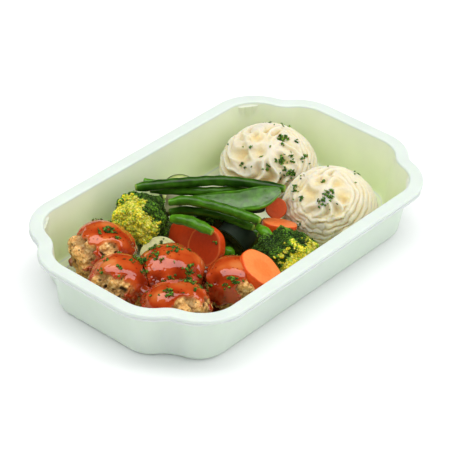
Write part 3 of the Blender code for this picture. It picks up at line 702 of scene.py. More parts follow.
MASH_COLUMNS, MASH_ROWS = ((360, 120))
MASH_GRAIN = 0.16 * MM
for name, heap in MASH_HEAPS.items():
    centre, half_width = CLUMPS[name]
    middle = Vector(centre) * MM
    half_height = heap["half_height"]
    planes = contact_planes(name)
    lowest = math.acos((REST / MM - centre[2]) / half_height)
    vertices = []
    hollow_shades = []
    for row in range(MASH_ROWS + 1):
        lean = lowest * row / MASH_ROWS
        for column in range(MASH_COLUMNS if row else 1):
            turn = math.tau * column / MASH_COLUMNS
            away = math.sin(lean)
            outward = Vector((away * math.cos(turn), away * math.sin(turn), math.cos(lean)))
            depth, sunk = mash_fold(name, heap, outward)
            plain = Vector((outward.x * half_width, outward.y * half_width, outward.z * half_height))
            rough = MASH_GRAIN * noise.fractal(plain * 0.42 + Vector((heap["seed"], 0, 0)), 0.9, 2.2, 3)
            point = middle + plain * MM - (depth - rough) * outward
            if row == MASH_ROWS:
                point.z = REST
            vertices.append(settle(point, planes))
            hollow_shades.append(sunk)
    faces = [(0, 1 + i, 1 + (i + 1) % MASH_COLUMNS) for i in range(MASH_COLUMNS)]
    for row in range(MASH_ROWS - 1):
        faces += close_ring(1 + (row + 1) * MASH_COLUMNS, 1 + row * MASH_COLUMNS, MASH_COLUMNS)
    faces.append(tuple(range(1 + (MASH_ROWS - 1) * MASH_COLUMNS, 1 + MASH_ROWS * MASH_COLUMNS))[::-1])
    mash = make_piece(name + "_piped", vertices, faces, [mash_material], [name])
    keep_on_points(mash, "hollow", hollow_shades)

# Broccoli
# Boiled florets: a branching head whose tight outer buds are deep green, and whose heart, where the buds
# have swollen and begun to open, is yellow. Thousands of round buds, a millimetre across, stand on it.
BROCCOLI = {"broccoli_1": (15.4, 5), "broccoli_2": (14.5, 11)}  # half-height in millimetres, seed
FLORET, FLORET_DEPTH = 10.0 * MM, 2.8 * MM
SPRAY, SPRAY_DEPTH = 4.2 * MM, 1.5 * MM
CLUSTER, CLUSTER_DEPTH = 1.9 * MM, 0.45 * MM
FLORET_SWELL = 1.8 * MM
BUD_FOOT = 0.5 * MM
BUD_RADIUS = 0.52 * MM
BUDS = 3800
BUDS_DOWN_TO = 1.42  # of the head's half-height, from its top
# Open yellow hearts: compass angle, angle from the top and half-width in degrees.
HEARTS = {
    "broccoli_1": [(-165, 44, 40), (-135, 84, 42), (165, 66, 34), (170, 30, 24)],
    "broccoli_2": [(-108, 56, 40), (-132, 66, 30), (-66, 60, 36), (-112, 86, 36)],
}
DARK_BUD = pigment("#284c10")
GREEN_BUD = pigment("#79b52a")
YELLOW_BUD = pigment("#fae61c")
PALE_BUD = pigment("#fff27c")
STALK = pigment("#8fa35a")

# Broccoli buds, boiled: waxy and matt, each one with painted light on its crown and painted shade on its
# sides.
bud_material, tree, shader = start_material(
    "broccoli buds, boiled",
    {"Roughness": 0.42, "IOR": 1.36, "Subsurface Weight": 0.1, "Subsurface Scale": 0.001},
)
place = add_node(tree, "TexCoord").outputs["Object"]
own = add_node(tree, "Attribute", {"attribute_name": "bud_tint"})
grain = add_node(tree, "TexNoise", {"Scale": 1 / (0.9 * MM), "Detail": 3.0}, {"Vector": place})
skin = grain_surface(tree, shader, own.outputs["Color"], grain, (0.8, 1.2), grain, 0.3, 0.2 * MM)
tree.links.new(skin, shader.inputs["Base Color"])


def heart_share(name, direction):
    """1 in the open yellow heart of a floret, 0 where its buds are tight and dark."""
    share = 0.0
    for compass, lean, half_width in HEARTS[name]:
        away = math.degrees(direction.angle(compass_direction(compass, lean)))
        away += 17 * noise.noise(direction * 3.2) + 12 * noise.noise(direction * 8)
        share = max(share, smooth_step(half_width * 1.12, half_width * 0.72, away))
    return share


def floret_point(name, direction):
    """A point on a floret's crown, and how far it lies below the crown's plain form."""
    centre, half_width = CLUMPS[name]
    half_height, seed = BROCCOLI[name]
    offset = Vector((direction.x * half_width, direction.y * half_width, direction.z * half_height)) * MM
    relief = FLORET_SWELL - BUD_FOOT + lumps(offset, FLORET, FLORET_DEPTH, seed)
    relief += lumps(offset, SPRAY, SPRAY_DEPTH, seed + 3) + lumps(offset, CLUSTER, CLUSTER_DEPTH, seed + 7)
    return Vector(centre) * MM + offset + relief * direction, -relief


core_directions, core_faces = sphere_grid(6)
bud_directions, bud_faces = sphere_grid(1)
for name, (_, seed) in BROCCOLI.items():
    planes = contact_planes(name)
    rng = random.Random(seed)
    vertices = []
    tints = []
    for direction in core_directions:
        vertices.append(settle(floret_point(name, direction)[0], planes))
        # Between the buds the core is painted in darkened copies of the bud colours, as painted shade.
        shade_between_buds = (DARK_BUD * 0.6).lerp(YELLOW_BUD * 0.45, heart_share(name, direction))
        tints.append(shade_between_buds.lerp(STALK, smooth_step(-0.25, -0.5, direction.z)))
    core = make_piece(name + "_head", vertices, core_faces, [bud_material], [name])
    keep_on_points(core, "bud_tint", tints)

    vertices = []
    faces = []
    tints = []
    for i in range(BUDS):
        height = 1 - BUDS_DOWN_TO * (i + 0.5) / BUDS
        turn = i * math.pi * (3 - math.sqrt(5))  # the golden angle spaces the buds evenly
        spread = math.sqrt(1 - height * height)
        direction = Vector((spread * math.cos(turn), spread * math.sin(turn), height))
        direction = (direction + Vector([rng.uniform(-0.016, 0.016) for _ in range(3)])).normalized()
        point, sunk = floret_point(name, direction)
        point = settle(point + direction * rng.uniform(-0.1, 0.35) * MM, planes)
        heart = heart_share(name, direction)
        size = BUD_RADIUS * rng.uniform(0.75, 1.2) * (1 + 0.5 * heart)
        if heart > rng.uniform(0.25, 0.75):
            colour = YELLOW_BUD.lerp(PALE_BUD, rng.random() ** 2).lerp(GREEN_BUD, 0.9 * rng.random() ** 2)
        else:
            colour = (DARK_BUD * 0.8).lerp(GREEN_BUD, rng.random() ** 1.3 * (0.9 + 0.1 * heart))
        # Painted shade: buds sunk below the crown's plain form are darkened, less so in the yellow heart.
        colour = colour * (1 - (0.6 - 0.3 * heart) * smooth_step(-0.8 * MM, 2.0 * MM, sunk))
        first = len(vertices)
        for bud_direction in bud_directions:
            vertices.append(point + bud_direction * size)
            # Painted light and shade on each bud: lighter where it faces out of the head, darker on its sides.
            tints.append(colour * (0.68 + 0.55 * max(0.0, bud_direction.dot(direction))))
        faces += [tuple(first + j for j in face) for face in bud_faces]
    buds = make_piece(name + "_buds", vertices, faces, [bud_material], [])
    keep_on_points(buds, "bud_tint", tints)

# Green beans
# Fine round beans, topped and tailed with a knife, boiled and buttered: dark shiny skins that swell a little
# over each seed, and pale wet flesh in the cut ends.
# Each has the places that it runs through and its half-thickness, in millimetres, and how pale its skin is.
BEANS = {
    "bean_1": ([(-22.4, 48.4, 29.5), (-2.5, 31.7, 31.0), (15.3, 15.2, 31.3), (34.1, -10.1, 29.0)], 2.7, 0.12),
    "bean_2": ([(-16.3, 29.6, 25.8), (-9.5, 20.8, 27.8), (-3.9, 3.2, 28.8), (3.5, -18.0, 27.0)], 2.5, 0.36),
    "bean_3": ([(-15.5, 29.8, 19.0), (-8.4, 21.5, 20.3), (-1.2, 5.0, 21.5), (3.5, -14.0, 20.3)], 2.4, 0.15),
    "bean_4": ([(-24.9, 20.1, 24.0), (-22.5, 10.0, 26.0), (-21.4, -0.6, 26.0), (-20.6, -5.2, 25.3)], 2.9, 0.5),
    "bean_5": ([(-12.8, 46.1, 24.5), (-4.0, 34.0, 25.5), (8.0, 19.5, 26.0), (23.5, 8.0, 25.5)], 2.3, 0.3),
    "bean_6": ([(-10.6, 52.9, 26.0), (-8.2, 48.8, 25.5), (-3.9, 40.9, 24.5)], 2.2, 0.5),
    "bean_7": ([(4.7, -16.0, 21.5), (2.6, -22.6, 22.2), (1.1, -28.9, 21.5)], 2.6, 0.8),
    "bean_8": ([(8.4, 4.1, 11.2), (7.7, -6.0, 13.2), (9.4, -13.0, 13.2)], 3.0, 0.1),
}
BEAN_TAPER = 0.74
BEAN_FLATNESS = 0.92
PLUMP = 0.3  # mm that cooking adds to each half-thickness
BEAN_SIDES = 20
BEAN_STEPS = 72
TIP_ROUND = (0.84, 0.97)  # of the thickness, at the last two rings of each end
CUT_DISH = 0.25 * MM
SEAM_ANGLE = 2.4
SEED_PITCH = 8.5 * MM
BEAN_WOBBLE = 5 * MM
BEAN_BLOTCH = 14 * MM
DARK_SKIN = pigment("#163606")
BRIGHT_SKIN = pigment("#5c9a1c")

# Bean skin, boiled: smooth, waxy and wet with butter; deep green with paler streaks along it.
bean_material, tree, shader = start_material(
    "green bean skin, boiled",
    {
        "Roughness": 0.17, "IOR": 1.42, "Coat Roughness": 0.22,
        "Subsurface Weight": 0.08, "Subsurface Scale": 0.001,
    },
)
butter = add_node(tree, "Attribute", {"attribute_name": "butter"})
tree.links.new(butter.outputs["Fac"], shader.inputs["Coat Weight"])
place = add_node(tree, "TexCoord").outputs["Object"]
own = add_node(tree, "Attribute", {"attribute_name": "bean_tint"})
cut = add_node(tree, "Attribute", {"attribute_name": "cut"})
streak = add_node(
    tree, "TexNoise", {"Scale": 1 / (3.5 * MM), "Detail": 4.0, "Roughness": 0.6}, {"Vector": place}
)
fuzz = add_node(tree, "TexNoise", {"Scale": 1 / (0.7 * MM), "Detail": 2.0}, {"Vector": place})
skin = grain_surface(tree, shader, own.outputs["Color"], streak, (0.62, 1.35), fuzz, 0.18, 0.15 * MM)
flesh = add_node(tree, "Mix", {"data_type": "RGBA", 7: linear("#b4cf55")}, {6: skin, 0: cut.outputs["Fac"]})
tree.links.new(flesh.outputs[2], shader.inputs["Base Color"])


def smooth_path(points, count):
    """Points along a smooth curve through the given ones (Catmull-Rom)."""
    knots = [2 * points[0] - points[1], *points, 2 * points[-1] - points[-2]]
    spans = len(points) - 1
    path = []
    for step in range(count + 1):
        along = spans * step / count
        span = min(int(along), spans - 1)
        t = along - span
        before, start, end, after = knots[span : span + 4]
        path.append(
            0.5 * (
                2 * start + (end - before) * t
                + (2 * before - 5 * start + 4 * end - after) * t**2
                + (3 * start - before - 3 * end + after) * t**3
            )
        )
    return path


def around(angle, along):
    """A place on a tube, for noise that closes on itself."""
    return Vector((math.cos(angle), math.sin(angle), along))


def tube_faces(rings, count):
    """A tube's quads from ring to ring, and then a face over each end."""
    faces = []
    for i in range(rings - 1):
        faces += close_ring((i + 1) * count, i * count, count)
    faces.append(tuple(range(count)))
    faces.append(tuple(range((rings - 1) * count, rings * count))[::-1])
    return faces


for name, (points, half_thickness, brightness) in BEANS.items():
    path = smooth_path([Vector(p) * MM for p in points], BEAN_STEPS)
    phase = random.Random(name).uniform(0, math.tau)
    vertices = []
    tints = []
    cuts = []
    travelled = 0.0
    total = sum((b - a).length for a, b in zip(path, path[1:]))
    for i, middle in enumerate(path):
        from_end = min(i, BEAN_STEPS - i)
        ahead = (path[min(i + 1, BEAN_STEPS)] - path[max(i - 1, 0)]).normalized()
        aside = ahead.cross(Vector((0, 0, 1))).normalized()
        rise = aside.cross(ahead)
        travelled += (middle - path[i - 1]).length if i else 0.0
        from_tip = min(travelled, total - travelled)
        taper = BEAN_TAPER + (1 - BEAN_TAPER) * smooth_step(0.0, 7 * MM, from_tip)
        swell = 1 + 0.045 * math.sin(math.tau * travelled / SEED_PITCH + phase)
        radius = (half_thickness + PLUMP) * MM * taper * swell
        tip_round = (*TIP_ROUND, 1.0)[min(from_end, 2)]
        for side in range(BEAN_SIDES):
            angle = math.tau * side / BEAN_SIDES
            wobble = 1 + 0.05 * noise.noise(around(angle, travelled / BEAN_WOBBLE) + Vector((0, 0, phase)))
            seam = 1 - 0.06 * smooth_step(0.22, 0.0, abs(angle - SEAM_ANGLE))
            reach = radius * wobble * seam * tip_round
            upward = rise * reach * BEAN_FLATNESS * math.sin(angle)
            vertices.append(middle + aside * reach * math.cos(angle) + upward)
            light = brightness + 0.22 * noise.noise(around(angle, travelled / BEAN_BLOTCH) * 1.4)
            light += 0.25 * smooth_step(6 * MM, 0.0, from_tip)
            tints.append(DARK_SKIN.lerp(BRIGHT_SKIN, within(light)))
            cuts.append(0.0 if from_end else 0.55)
    faces = tube_faces(len(path), BEAN_SIDES)[:-2]
    for first, tip, next_in in ((0, path[0], path[1]), (BEAN_STEPS * BEAN_SIDES, path[-1], path[-2])):
        vertices.append(tip + (next_in - tip).normalized() * CUT_DISH)
        tints.append(BRIGHT_SKIN)
        cuts.append(1.0)
        hub = len(vertices) - 1
        for i in range(BEAN_SIDES):
            j = (i + 1) % BEAN_SIDES
            faces.append((hub, first + j, first + i) if first else (hub, first + i, first + j))
    bean = make_piece(name + "_cooked", vertices, faces, [bean_material], [name])
    keep_on_points(bean, "bean_tint", tints)
    keep_on_points(bean, "cut", cuts)

# Pea pod
# A flat young pod, boiled whole: two thin leathery walls joined along a seam at each edge, a blunt hooked
# tip, and hardly grown peas that show as low swellings. It shares the beans' skin.
POD_LINE = [
    (-12.2, 30.8, 24.1), (-4.8, 20.8, 25.6), (2.9, 9.8, 27.1),
    (9.8, -0.4, 28.6), (17.8, -6.9, 30.1), (27.8, -11.4, 32.4),
]
POD_HALF_WIDTHS = (1.2, 2.8, 4.8, 6.2, 6.2, 2.2)
POD_TIP = (0.98, 0.9, 0.75, 0.45)  # of the width, at its last four rings
POD_THICKNESS = 4.2 * MM
POD_PEAS = 6.5
POD_FACE = Vector((-0.35, -0.30, 0.89)).normalized()
POD_RINGS, POD_SIDES = 90, 48
pod_path = smooth_path([Vector(p) * MM for p in POD_LINE], POD_RINGS)
pod_widths = smooth_path([Vector((w * MM, 0, 0)) for w in POD_HALF_WIDTHS], POD_RINGS)
vertices = []
tints = []
wet = []
for i, middle in enumerate(pod_path):
    ahead = (pod_path[min(i + 1, POD_RINGS)] - pod_path[max(i - 1, 0)]).normalized()
    across = ahead.cross(POD_FACE).normalized()
    normal = across.cross(ahead)
    half_width = max(pod_widths[i].x, 0.5 * MM)
    half_thick = POD_THICKNESS / 2 * min(1.0, half_width / (4 * MM))
    if i > POD_RINGS - len(POD_TIP):
        half_width *= POD_TIP[i - POD_RINGS + 3]
    for side in range(POD_SIDES):
        angle = math.tau * side / POD_SIDES
        out, up = math.cos(angle), math.sin(angle)
        seam = smooth_step(0.86, 0.97, abs(out))
        body = math.copysign(abs(up) ** 0.8, up) * (1 - 0.42 * (1 - out * out) ** 2)
        peas = 0.10 * math.sin(math.tau * i / POD_RINGS * POD_PEAS) * (1 - out * out) ** 2
        thick = half_thick * (body + math.copysign(peas, up) + math.copysign(0.16 * seam, up))
        ripple = 0.25 * MM * noise.noise(Vector((i / 7.0, out * 2.2, up)))
        vertices.append(middle + across * half_width * out * (1 + 0.02 * seam) + normal * (thick + ripple))
        # The seams are paler, partly their own colour and partly a painted highlight, and the near half is
        # painted a little paler as a sheen.
        light = 0.38 + 0.4 * seam + 0.12 * out + 0.3 * noise.noise(Vector((i / 12.0, out * 1.5, 3)))
        tints.append(DARK_SKIN.lerp(BRIGHT_SKIN, within(light)))
        patchy = out + 0.5 * noise.noise(Vector((i / 6.0, out * 3, 9)))
        wet.append(smooth_step(-0.15, 0.35, patchy) * (1 - seam))
faces = tube_faces(POD_RINGS + 1, POD_SIDES)
pod = make_piece("pea_pod_cooked", vertices, faces, [bean_material], ["pea_pod"])
keep_on_points(pod, "butter", wet)
keep_on_points(pod, "bean_tint", tints)

# Pea
# One loose garden pea, boiled, with the dimple where it hung in its pod.
PEA_CENTRE = Vector((-9.3, -7.6, 7.0)) * MM
PEA_RADIUS = 3.9 * MM
PEA_SCAR = Vector((-0.5, -0.75, 0.45)).normalized()
pea_directions, pea_faces = sphere_grid(4)
vertices = []
tints = []
for direction in pea_directions:
    near_scar = direction.angle(PEA_SCAR)
    wrinkle = 0.035 * noise.noise(direction * 3)
    dimple = 0.14 * math.exp(-((near_scar / 0.28) ** 2))
    vertices.append(PEA_CENTRE + direction * PEA_RADIUS * (1 + wrinkle - dimple))
    tints.append(BRIGHT_SKIN.lerp(DARK_SKIN, 0.35 + 0.5 * math.exp(-((near_scar / 0.22) ** 2))))
pea = make_piece("pea_cooked", vertices, pea_faces, [bean_material], ["pea"])
keep_on_points(pea, "bean_tint", tints)

# Carrot slices
# Carrot cut across into rounds and boiled: wet cut faces with a paler woody heart, a thin ring round it, and
# a side that keeps the peeler's flats. Two of them lie in the meatballs' glaze and are painted deep red,
# partly stained by the glaze and partly as painted shade; a third, half hidden among the beans, is painted
# that red as shade. Each has its middle, the way that its cut face looks, its radius and thickness in
# millimetres, and how much of the deep red of glaze and painted shade it has.
CARROTS = {
    "carrot_1": ((-19.2, -0.6, 13.2), (-0.90, 0.01, 0.44), 10.9, 5.0, 0.92),
    "carrot_2": ((-18.4, 15.1, 11.5), (-0.90, 0.01, 0.44), 9.8, 4.5, 0.9),
    "carrot_3": ((-29.7, -44.7, 24.6), (0.28, -0.44, 0.85), 12.4, 6.0, 0.0),
    "carrot_4": ((20.0, -18.5, 15.5), (0.33, 0.15, 0.93), 9.6, 4.5, 0.1),
    "carrot_5": ((29.3, -8.5, 18.0), (-0.65, -0.51, 0.57), 5.8, 4.0, 0.7),
}
CARROT_SIDES = 96
CARROT_EDGE = 0.7  # millimetres of rounding at the rim
CARROT_RINGS = (0.15, 0.3, 0.42, 0.5, 0.58, 0.7, 0.85, 1)  # of the radius
CARROT_FACE = pigment("#f48a48")
CARROT_HEART = pigment("#f3803e")
CARROT_SIDE = pigment("#de5016")
CARROT_STAIN_AND_SHADE = pigment("#b8300e")

# Carrot, boiled and cut: dense wet root, orange with fine radial fibres, glossy on the cut.
carrot_material, tree, shader = start_material(
    "carrot, boiled and cut",
    {"Roughness": 0.26, "IOR": 1.38, "Subsurface Weight": 0.08, "Subsurface Scale": 0.0015},
)
shader.inputs["Subsurface Radius"].default_value = (1.0, 0.35, 0.1)
place = add_node(tree, "TexCoord").outputs["Object"]
own = add_node(tree, "Attribute", {"attribute_name": "carrot_tint"})
fibre = add_node(
    tree, "TexNoise", {"Scale": 1 / (1.4 * MM), "Detail": 5.0, "Roughness": 0.6}, {"Vector": place}
)
root = grain_surface(tree, shader, own.outputs["Color"], fibre, (0.92, 1.09), fibre, 0.2, 0.2 * MM)
tree.links.new(root, shader.inputs["Base Color"])

for name, (centre, face, radius, thickness, stain_and_shade) in CARROTS.items():
    seed = len(name) + radius
    turn_to = Vector(face).normalized().to_track_quat("Z", "Y")
    half = thickness / 2
    profile = [(radius * share - (CARROT_EDGE if share == 1 else 0), half) for share in CARROT_RINGS]
    for angle in steps(math.pi / 2, 0, 4)[1:]:
        out = radius - CARROT_EDGE + CARROT_EDGE * math.cos(angle)
        profile.append((out, half - CARROT_EDGE + CARROT_EDGE * math.sin(angle)))
    profile += [(radius, 0.0)]
    profile += [(r, -z) for r, z in profile[-2::-1]]
    vertices = []
    tints = []
    for r, z in profile:
        inner = r / radius
        ring_dip = 0.09 * math.exp(-(((inner - 0.5) / 0.05) ** 2))
        for side in range(CARROT_SIDES):
            angle = math.tau * side / CARROT_SIDES
            flat = 1 + 0.012 * math.cos(angle * 7 + seed) + 0.018 * noise.noise(around(angle, seed) * 1.5)
            uneven = 0.10 * noise.noise(Vector((r * math.cos(angle), r * math.sin(angle), seed)) / 2.2)
            lift = z - math.copysign(ring_dip + uneven, z)
            local = Vector((r * flat * math.cos(angle), r * flat * math.sin(angle), lift)) * MM
            vertices.append(Vector(centre) * MM + turn_to @ local)
            fibres = 0.5 + 0.5 * noise.noise(Vector((math.cos(angle) * 9, math.sin(angle) * 9, seed)))
            colour = CARROT_HEART.lerp(CARROT_FACE, smooth_step(0.42, 0.56, inner + 0.06 * fibres))
            colour = colour * (0.9 + 0.16 * fibres)
            colour = colour.lerp(CARROT_SIDE, smooth_step(0.93, 1.0, inner))
            # One deep red stands for both the glaze's staining and painted shade; on the side and the other
            # face it goes half as far.
            tints.append(colour.lerp(CARROT_STAIN_AND_SHADE, stain_and_shade * (1.0 if z > 0 and inner < 0.93 else 0.5)))
    faces = tube_faces(len(profile), CARROT_SIDES)
    carrot = make_piece(name + "_cooked", vertices, faces, [carrot_material], [name])
    keep_on_points(carrot, "carrot_tint", tints)

# Courgette slices
# Half rounds of courgette, boiled with the skin on: pale watery flesh with a seedy heart, greener towards
# the edge, and a thin skin that is almost black.
# Each has its middle, the way that its cut face and its skin look, its radius and thickness in millimetres,
# how much of its own colour shows through the painted shade of the pieces over it, and how much of its skin
# was left on.
COURGETTES = {
    "courgette_1": ((9.3, 43.0, 12.0), (-0.30, -0.55, 0.78), (0.2, 0.6, 0.6), 11.5, 5.0, 1.0, 1.0),
    "courgette_2": ((-6.4, 39.9, 17.0), (-0.30, -0.20, 0.93), (0.5, -0.8, 0.1), 9.0, 4.5, 0.45, 0.4),
    "courgette_3": ((2.6, -3.3, 11.2), (0.89, -0.04, 0.45), (-0.65, -0.51, 0.57), 9.6, 10.5, 0.05, 1.0),
    "courgette_4": ((0.0, 12.0, 4.6), (-0.80, -0.55, 0.20), (0.1, 0.2, 0.97), 14.0, 6.0, 0.0, 1.0),
    "courgette_5": ((22.5, 3.9, 17.4), (0.25, 0.20, 0.95), (-0.75, -0.60, 0.20), 8.0, 5.0, 0.5, 1.0),
    "courgette_6": ((-34.4, 18.6, 4.5), (-0.60, -0.55, 0.58), (0.3, 0.2, 0.93), 11.0, 6.0, 1.0, 0.0),
}
COURGETTE_EDGE = 0.5  # millimetres of rounding at the rim
COURGETTE_ARC, COURGETTE_CHORD = 44, 24  # points round the skin and along the cut
COURGETTE_FLESH = pigment("#eef0b2")
COURGETTE_HEART = pigment("#f4ecac")
COURGETTE_GREEN = pigment("#9fb351")
COURGETTE_SKIN = pigment("#20301f")
COURGETTE_SHADED = pigment("#2e360c")

# Courgette, boiled and cut: soft wet flesh that light sinks into, and a smooth waxy skin.
courgette_material, tree, shader = start_material(
    "courgette, boiled and cut",
    {"Roughness": 0.25, "IOR": 1.36, "Subsurface Weight": 0.2, "Subsurface Scale": 0.002},
)
shader.inputs["Subsurface Radius"].default_value = (0.8, 1.0, 0.35)
rind = add_node(tree, "Attribute", {"attribute_name": "rind"})
wax = add_node(tree, "MapRange", {"To Min": 0.25, "To Max": 0.6}, {0: rind.outputs["Fac"]})
tree.links.new(wax.outputs[0], shader.inputs["Roughness"])
place = add_node(tree, "TexCoord").outputs["Object"]
own = add_node(tree, "Attribute", {"attribute_name": "courgette_tint"})
pulp = add_node(
    tree, "TexNoise", {"Scale": 1 / (1.8 * MM), "Detail": 5.0, "Roughness": 0.6}, {"Vector": place}
)
flesh = grain_surface(tree, shader, own.outputs["Color"], pulp, (0.88, 1.12), pulp, 0.25, 0.25 * MM)
tree.links.new(flesh, shader.inputs["Base Color"])

for name, (centre, face, skin, radius, thickness, unshaded_share, peel) in COURGETTES.items():
    face = Vector(face).normalized()
    across = Vector(skin).cross(face).normalized()
    up = face.cross(across)
    rim = [(radius * math.cos(a), radius * math.sin(a)) for a in steps(0, math.pi, COURGETTE_ARC)]
    rim += [(-radius + radius * 2 * i / COURGETTE_CHORD, 0.0) for i in range(1, COURGETTE_CHORD)]
    half = thickness / 2
    layers = [(share, half) for share in (0.08, 0.35, 0.62, 0.82, 0.93)]
    layers += [(0.965, half - 0.05), (0.99, half - 0.25), (1.0, half - COURGETTE_EDGE), (1.0, 0.0)]
    layers += [(share, -z) for share, z in layers[-2::-1]]
    heart = Vector((0.0, radius * 0.36))
    vertices = []
    tints = []
    rinds = []
    for share, z in layers:
        for x, y in rim:
            flat = heart + (Vector((x, y)) - heart) * share
            out = flat.length / radius
            seeds = noise.noise(Vector((flat.x, flat.y, radius)) / 1.6)
            dip = 0.35 * math.exp(-(((out - 0.35) / 0.2) ** 2)) * seeds
            local = across * flat.x + up * flat.y + face * (z - math.copysign(abs(dip), z))
            vertices.append((Vector(centre) + local) * MM)
            colour = COURGETTE_HEART.lerp(COURGETTE_FLESH, smooth_step(0.25, 0.5, out))
            colour = colour.lerp(COURGETTE_GREEN, smooth_step(0.76, 0.92, out) * (0.1 + 0.9 * peel))
            # Painted shade: pieces that lie under the others are darkened towards a dark olive.
            colour = COURGETTE_SHADED.lerp(colour, unshaded_share)
            rinds.append(smooth_step(0.935, 0.97, out) * peel)
            tints.append(colour.lerp(COURGETTE_SKIN, rinds[-1]))
    faces = tube_faces(len(layers), len(rim))
    piece = make_piece(name + "_cooked", vertices, faces, [courgette_material], [name])
    keep_on_points(piece, "rind", rinds)
    keep_on_points(piece, "courgette_tint", tints)

# Sauce, and juice painted as shade
# Glaze that has run off the meatballs and lies in a thin film on the tray's floor, or spans the narrow gaps
# between them, and under the vegetables a film of the green water drained out of them, painted dark as shade.
# Where each film spreads from: x, y and reach in millimetres.
SAUCE_POOLS = [
    (-66.0, 31.7, 15.0), (-80.1, 6.5, 13.0), (-56.8, -7.5, 18.0), (-77.6, -30.7, 15.0), (-39.8, -36.2, 15.0),
    (-68.0, 14.0, 13.0), (-66.0, -20.0, 14.0), (-46.0, -20.0, 16.0), (-34.0, -14.0, 10.0),
]
JUICE_SHADE_POOLS = [
    (-12.0, 6.0, 11.0), (2.0, 2.0, 12.0), (10.0, -12.0, 10.0), (10.0, 8.0, 11.0), (-2.0, 22.0, 11.0),
    (29.0, -3.0, 11.0), (-4.0, -14.0, 9.0), (4.0, 34.0, 9.0), (-12.0, 28.0, 10.0),
]
POOL_DEPTH = 1.3  # millimetres
POOL_LIFT = 0.02  # millimetres, which keeps a film's thin edge off the tray's floor
# Where glaze spans a gap: its middle, the way across the gap, and its half-lengths across, along and up.
BRIDGES = [
    ((-79.5, -11.6, 20.0), (-0.10, -1.0, 0.0), (6.0, 5.2, 4.6)),
    ((-45.6, -20.6, 18.5), (0.45, -0.9, -0.1), (5.4, 4.8, 5.2)),
    ((-68.5, -16.5, 15.5), (-0.66, -0.75, 0.0), (5.5, 5.0, 5.0)),
    ((-67.8, 1.8, 19.5), (0.86, -0.51, 0.0), (4.8, 4.6, 4.2)),
]
# Tomato glaze, pooled: the same syrup as on the meatballs, red brown in darker and lighter drifts, with a hard
# gloss.
sauce_material, tree, shader = start_material(
    "tomato glaze, pooled",
    {
        "Roughness": 0.1, "IOR": 1.45, "Coat Weight": 1.0, "Coat Roughness": 0.045,
        "Subsurface Weight": 0.06, "Subsurface Scale": 0.0015,
    },
)
shader.inputs["Subsurface Radius"].default_value = (1.0, 0.3, 0.1)
place = add_node(tree, "TexCoord").outputs["Object"]
drift = add_node(tree, "TexNoise", {"Scale": 1 / (6 * MM), "Detail": 4.0}, {"Vector": place})
syrup = add_node(
    tree, "ValToRGB", {"stops": [(0.3, "#702008"), (0.55, "#963610"), (0.75, "#b04a1c")]},
    {"Fac": drift.outputs["Fac"]},
)
tree.links.new(syrup.outputs["Color"], shader.inputs["Base Color"])

# Vegetable juice, drained: thin as water and mirror smooth; its murky dark green is painted shade.
juice_shade_material, tree, shader = start_material("vegetable juice, painted as shade", {"Roughness": 0.08, "IOR": 1.33})
place = add_node(tree, "TexCoord").outputs["Object"]
drift = add_node(tree, "TexNoise", {"Scale": 1 / (5 * MM), "Detail": 4.0}, {"Vector": place})
shade_murk = add_node(
    tree, "ValToRGB", {"stops": [(0.35, "#283008"), (0.6, "#464e14"), (0.8, "#6c6c26")]},
    {"Fac": drift.outputs["Fac"]},
)
tree.links.new(shade_murk.outputs["Color"], shader.inputs["Base Color"])


def pool_depth(pools, x, y):
    """Thickness of the film in millimetres, 0 outside its edge."""
    field = sum(math.exp(-((math.hypot(x - px, y - py) / r) ** 2) * 1.2) for px, py, r in pools)
    field += 0.10 * noise.noise(Vector((x, y, 0)) / 7)
    return POOL_DEPTH * math.sqrt(smooth_step(0.42, 0.62, field))


def pool_mesh(pools, low, high):
    """A film on a 1 mm grid between two corners, with a rounded edge and a flat underside."""
    index = {}
    vertices = []
    faces = []
    for ix in range(low[0], high[0]):
        for iy in range(low[1], high[1]):
            cell = ((ix, iy), (ix + 1, iy), (ix + 1, iy + 1), (ix, iy + 1))
            corners = [(x, y, pool_depth(pools, x, y)) for x, y in cell]
            if max(depth for _, _, depth in corners) <= 0:
                continue
            for x, y, depth in corners:
                if (x, y) not in index:
                    index[(x, y)] = len(vertices)
                    vertices.append(Vector((x, y, FLOOR_TOP / MM + POOL_LIFT + depth)) * MM)
            faces.append(tuple(index[corner] for corner in cell))
    count = len(vertices)
    edges = {edge for face in faces for edge in zip(face, face[1:] + face[:1])}
    sides = [(b, a, a + count, b + count) for a, b in edges if (b, a) not in edges]
    faces += [tuple(i + count for i in face[::-1]) for face in faces] + sorted(sides)
    vertices += [Vector((v.x, v.y, FLOOR_TOP)) for v in vertices]
    return vertices, faces


vertices, faces = pool_mesh(SAUCE_POOLS, (-100, -54), (-18, 54))
bridge_directions, bridge_faces = sphere_grid(4)
for middle, across, (half_across, half_along, half_up) in BRIDGES:
    across = Vector(across).normalized()
    along = across.cross(Vector((0, 0, 1))).normalized()
    up = along.cross(across)
    first = len(vertices)
    for direction in bridge_directions:
        waist = 0.72 + 0.28 * direction.x**2
        local = across * direction.x * half_across
        local += (along * direction.y * half_along + up * direction.z * half_up) * waist
        vertices.append((Vector(middle) + local) * MM)
    faces += [tuple(first + i for i in face) for face in bridge_faces]
make_piece("sauce_film", vertices, faces, [sauce_material], [])
vertices, faces = pool_mesh(JUICE_SHADE_POOLS, (-40, -40), (60, 54))
make_piece("juice_film", vertices, faces, [juice_shade_material], [])

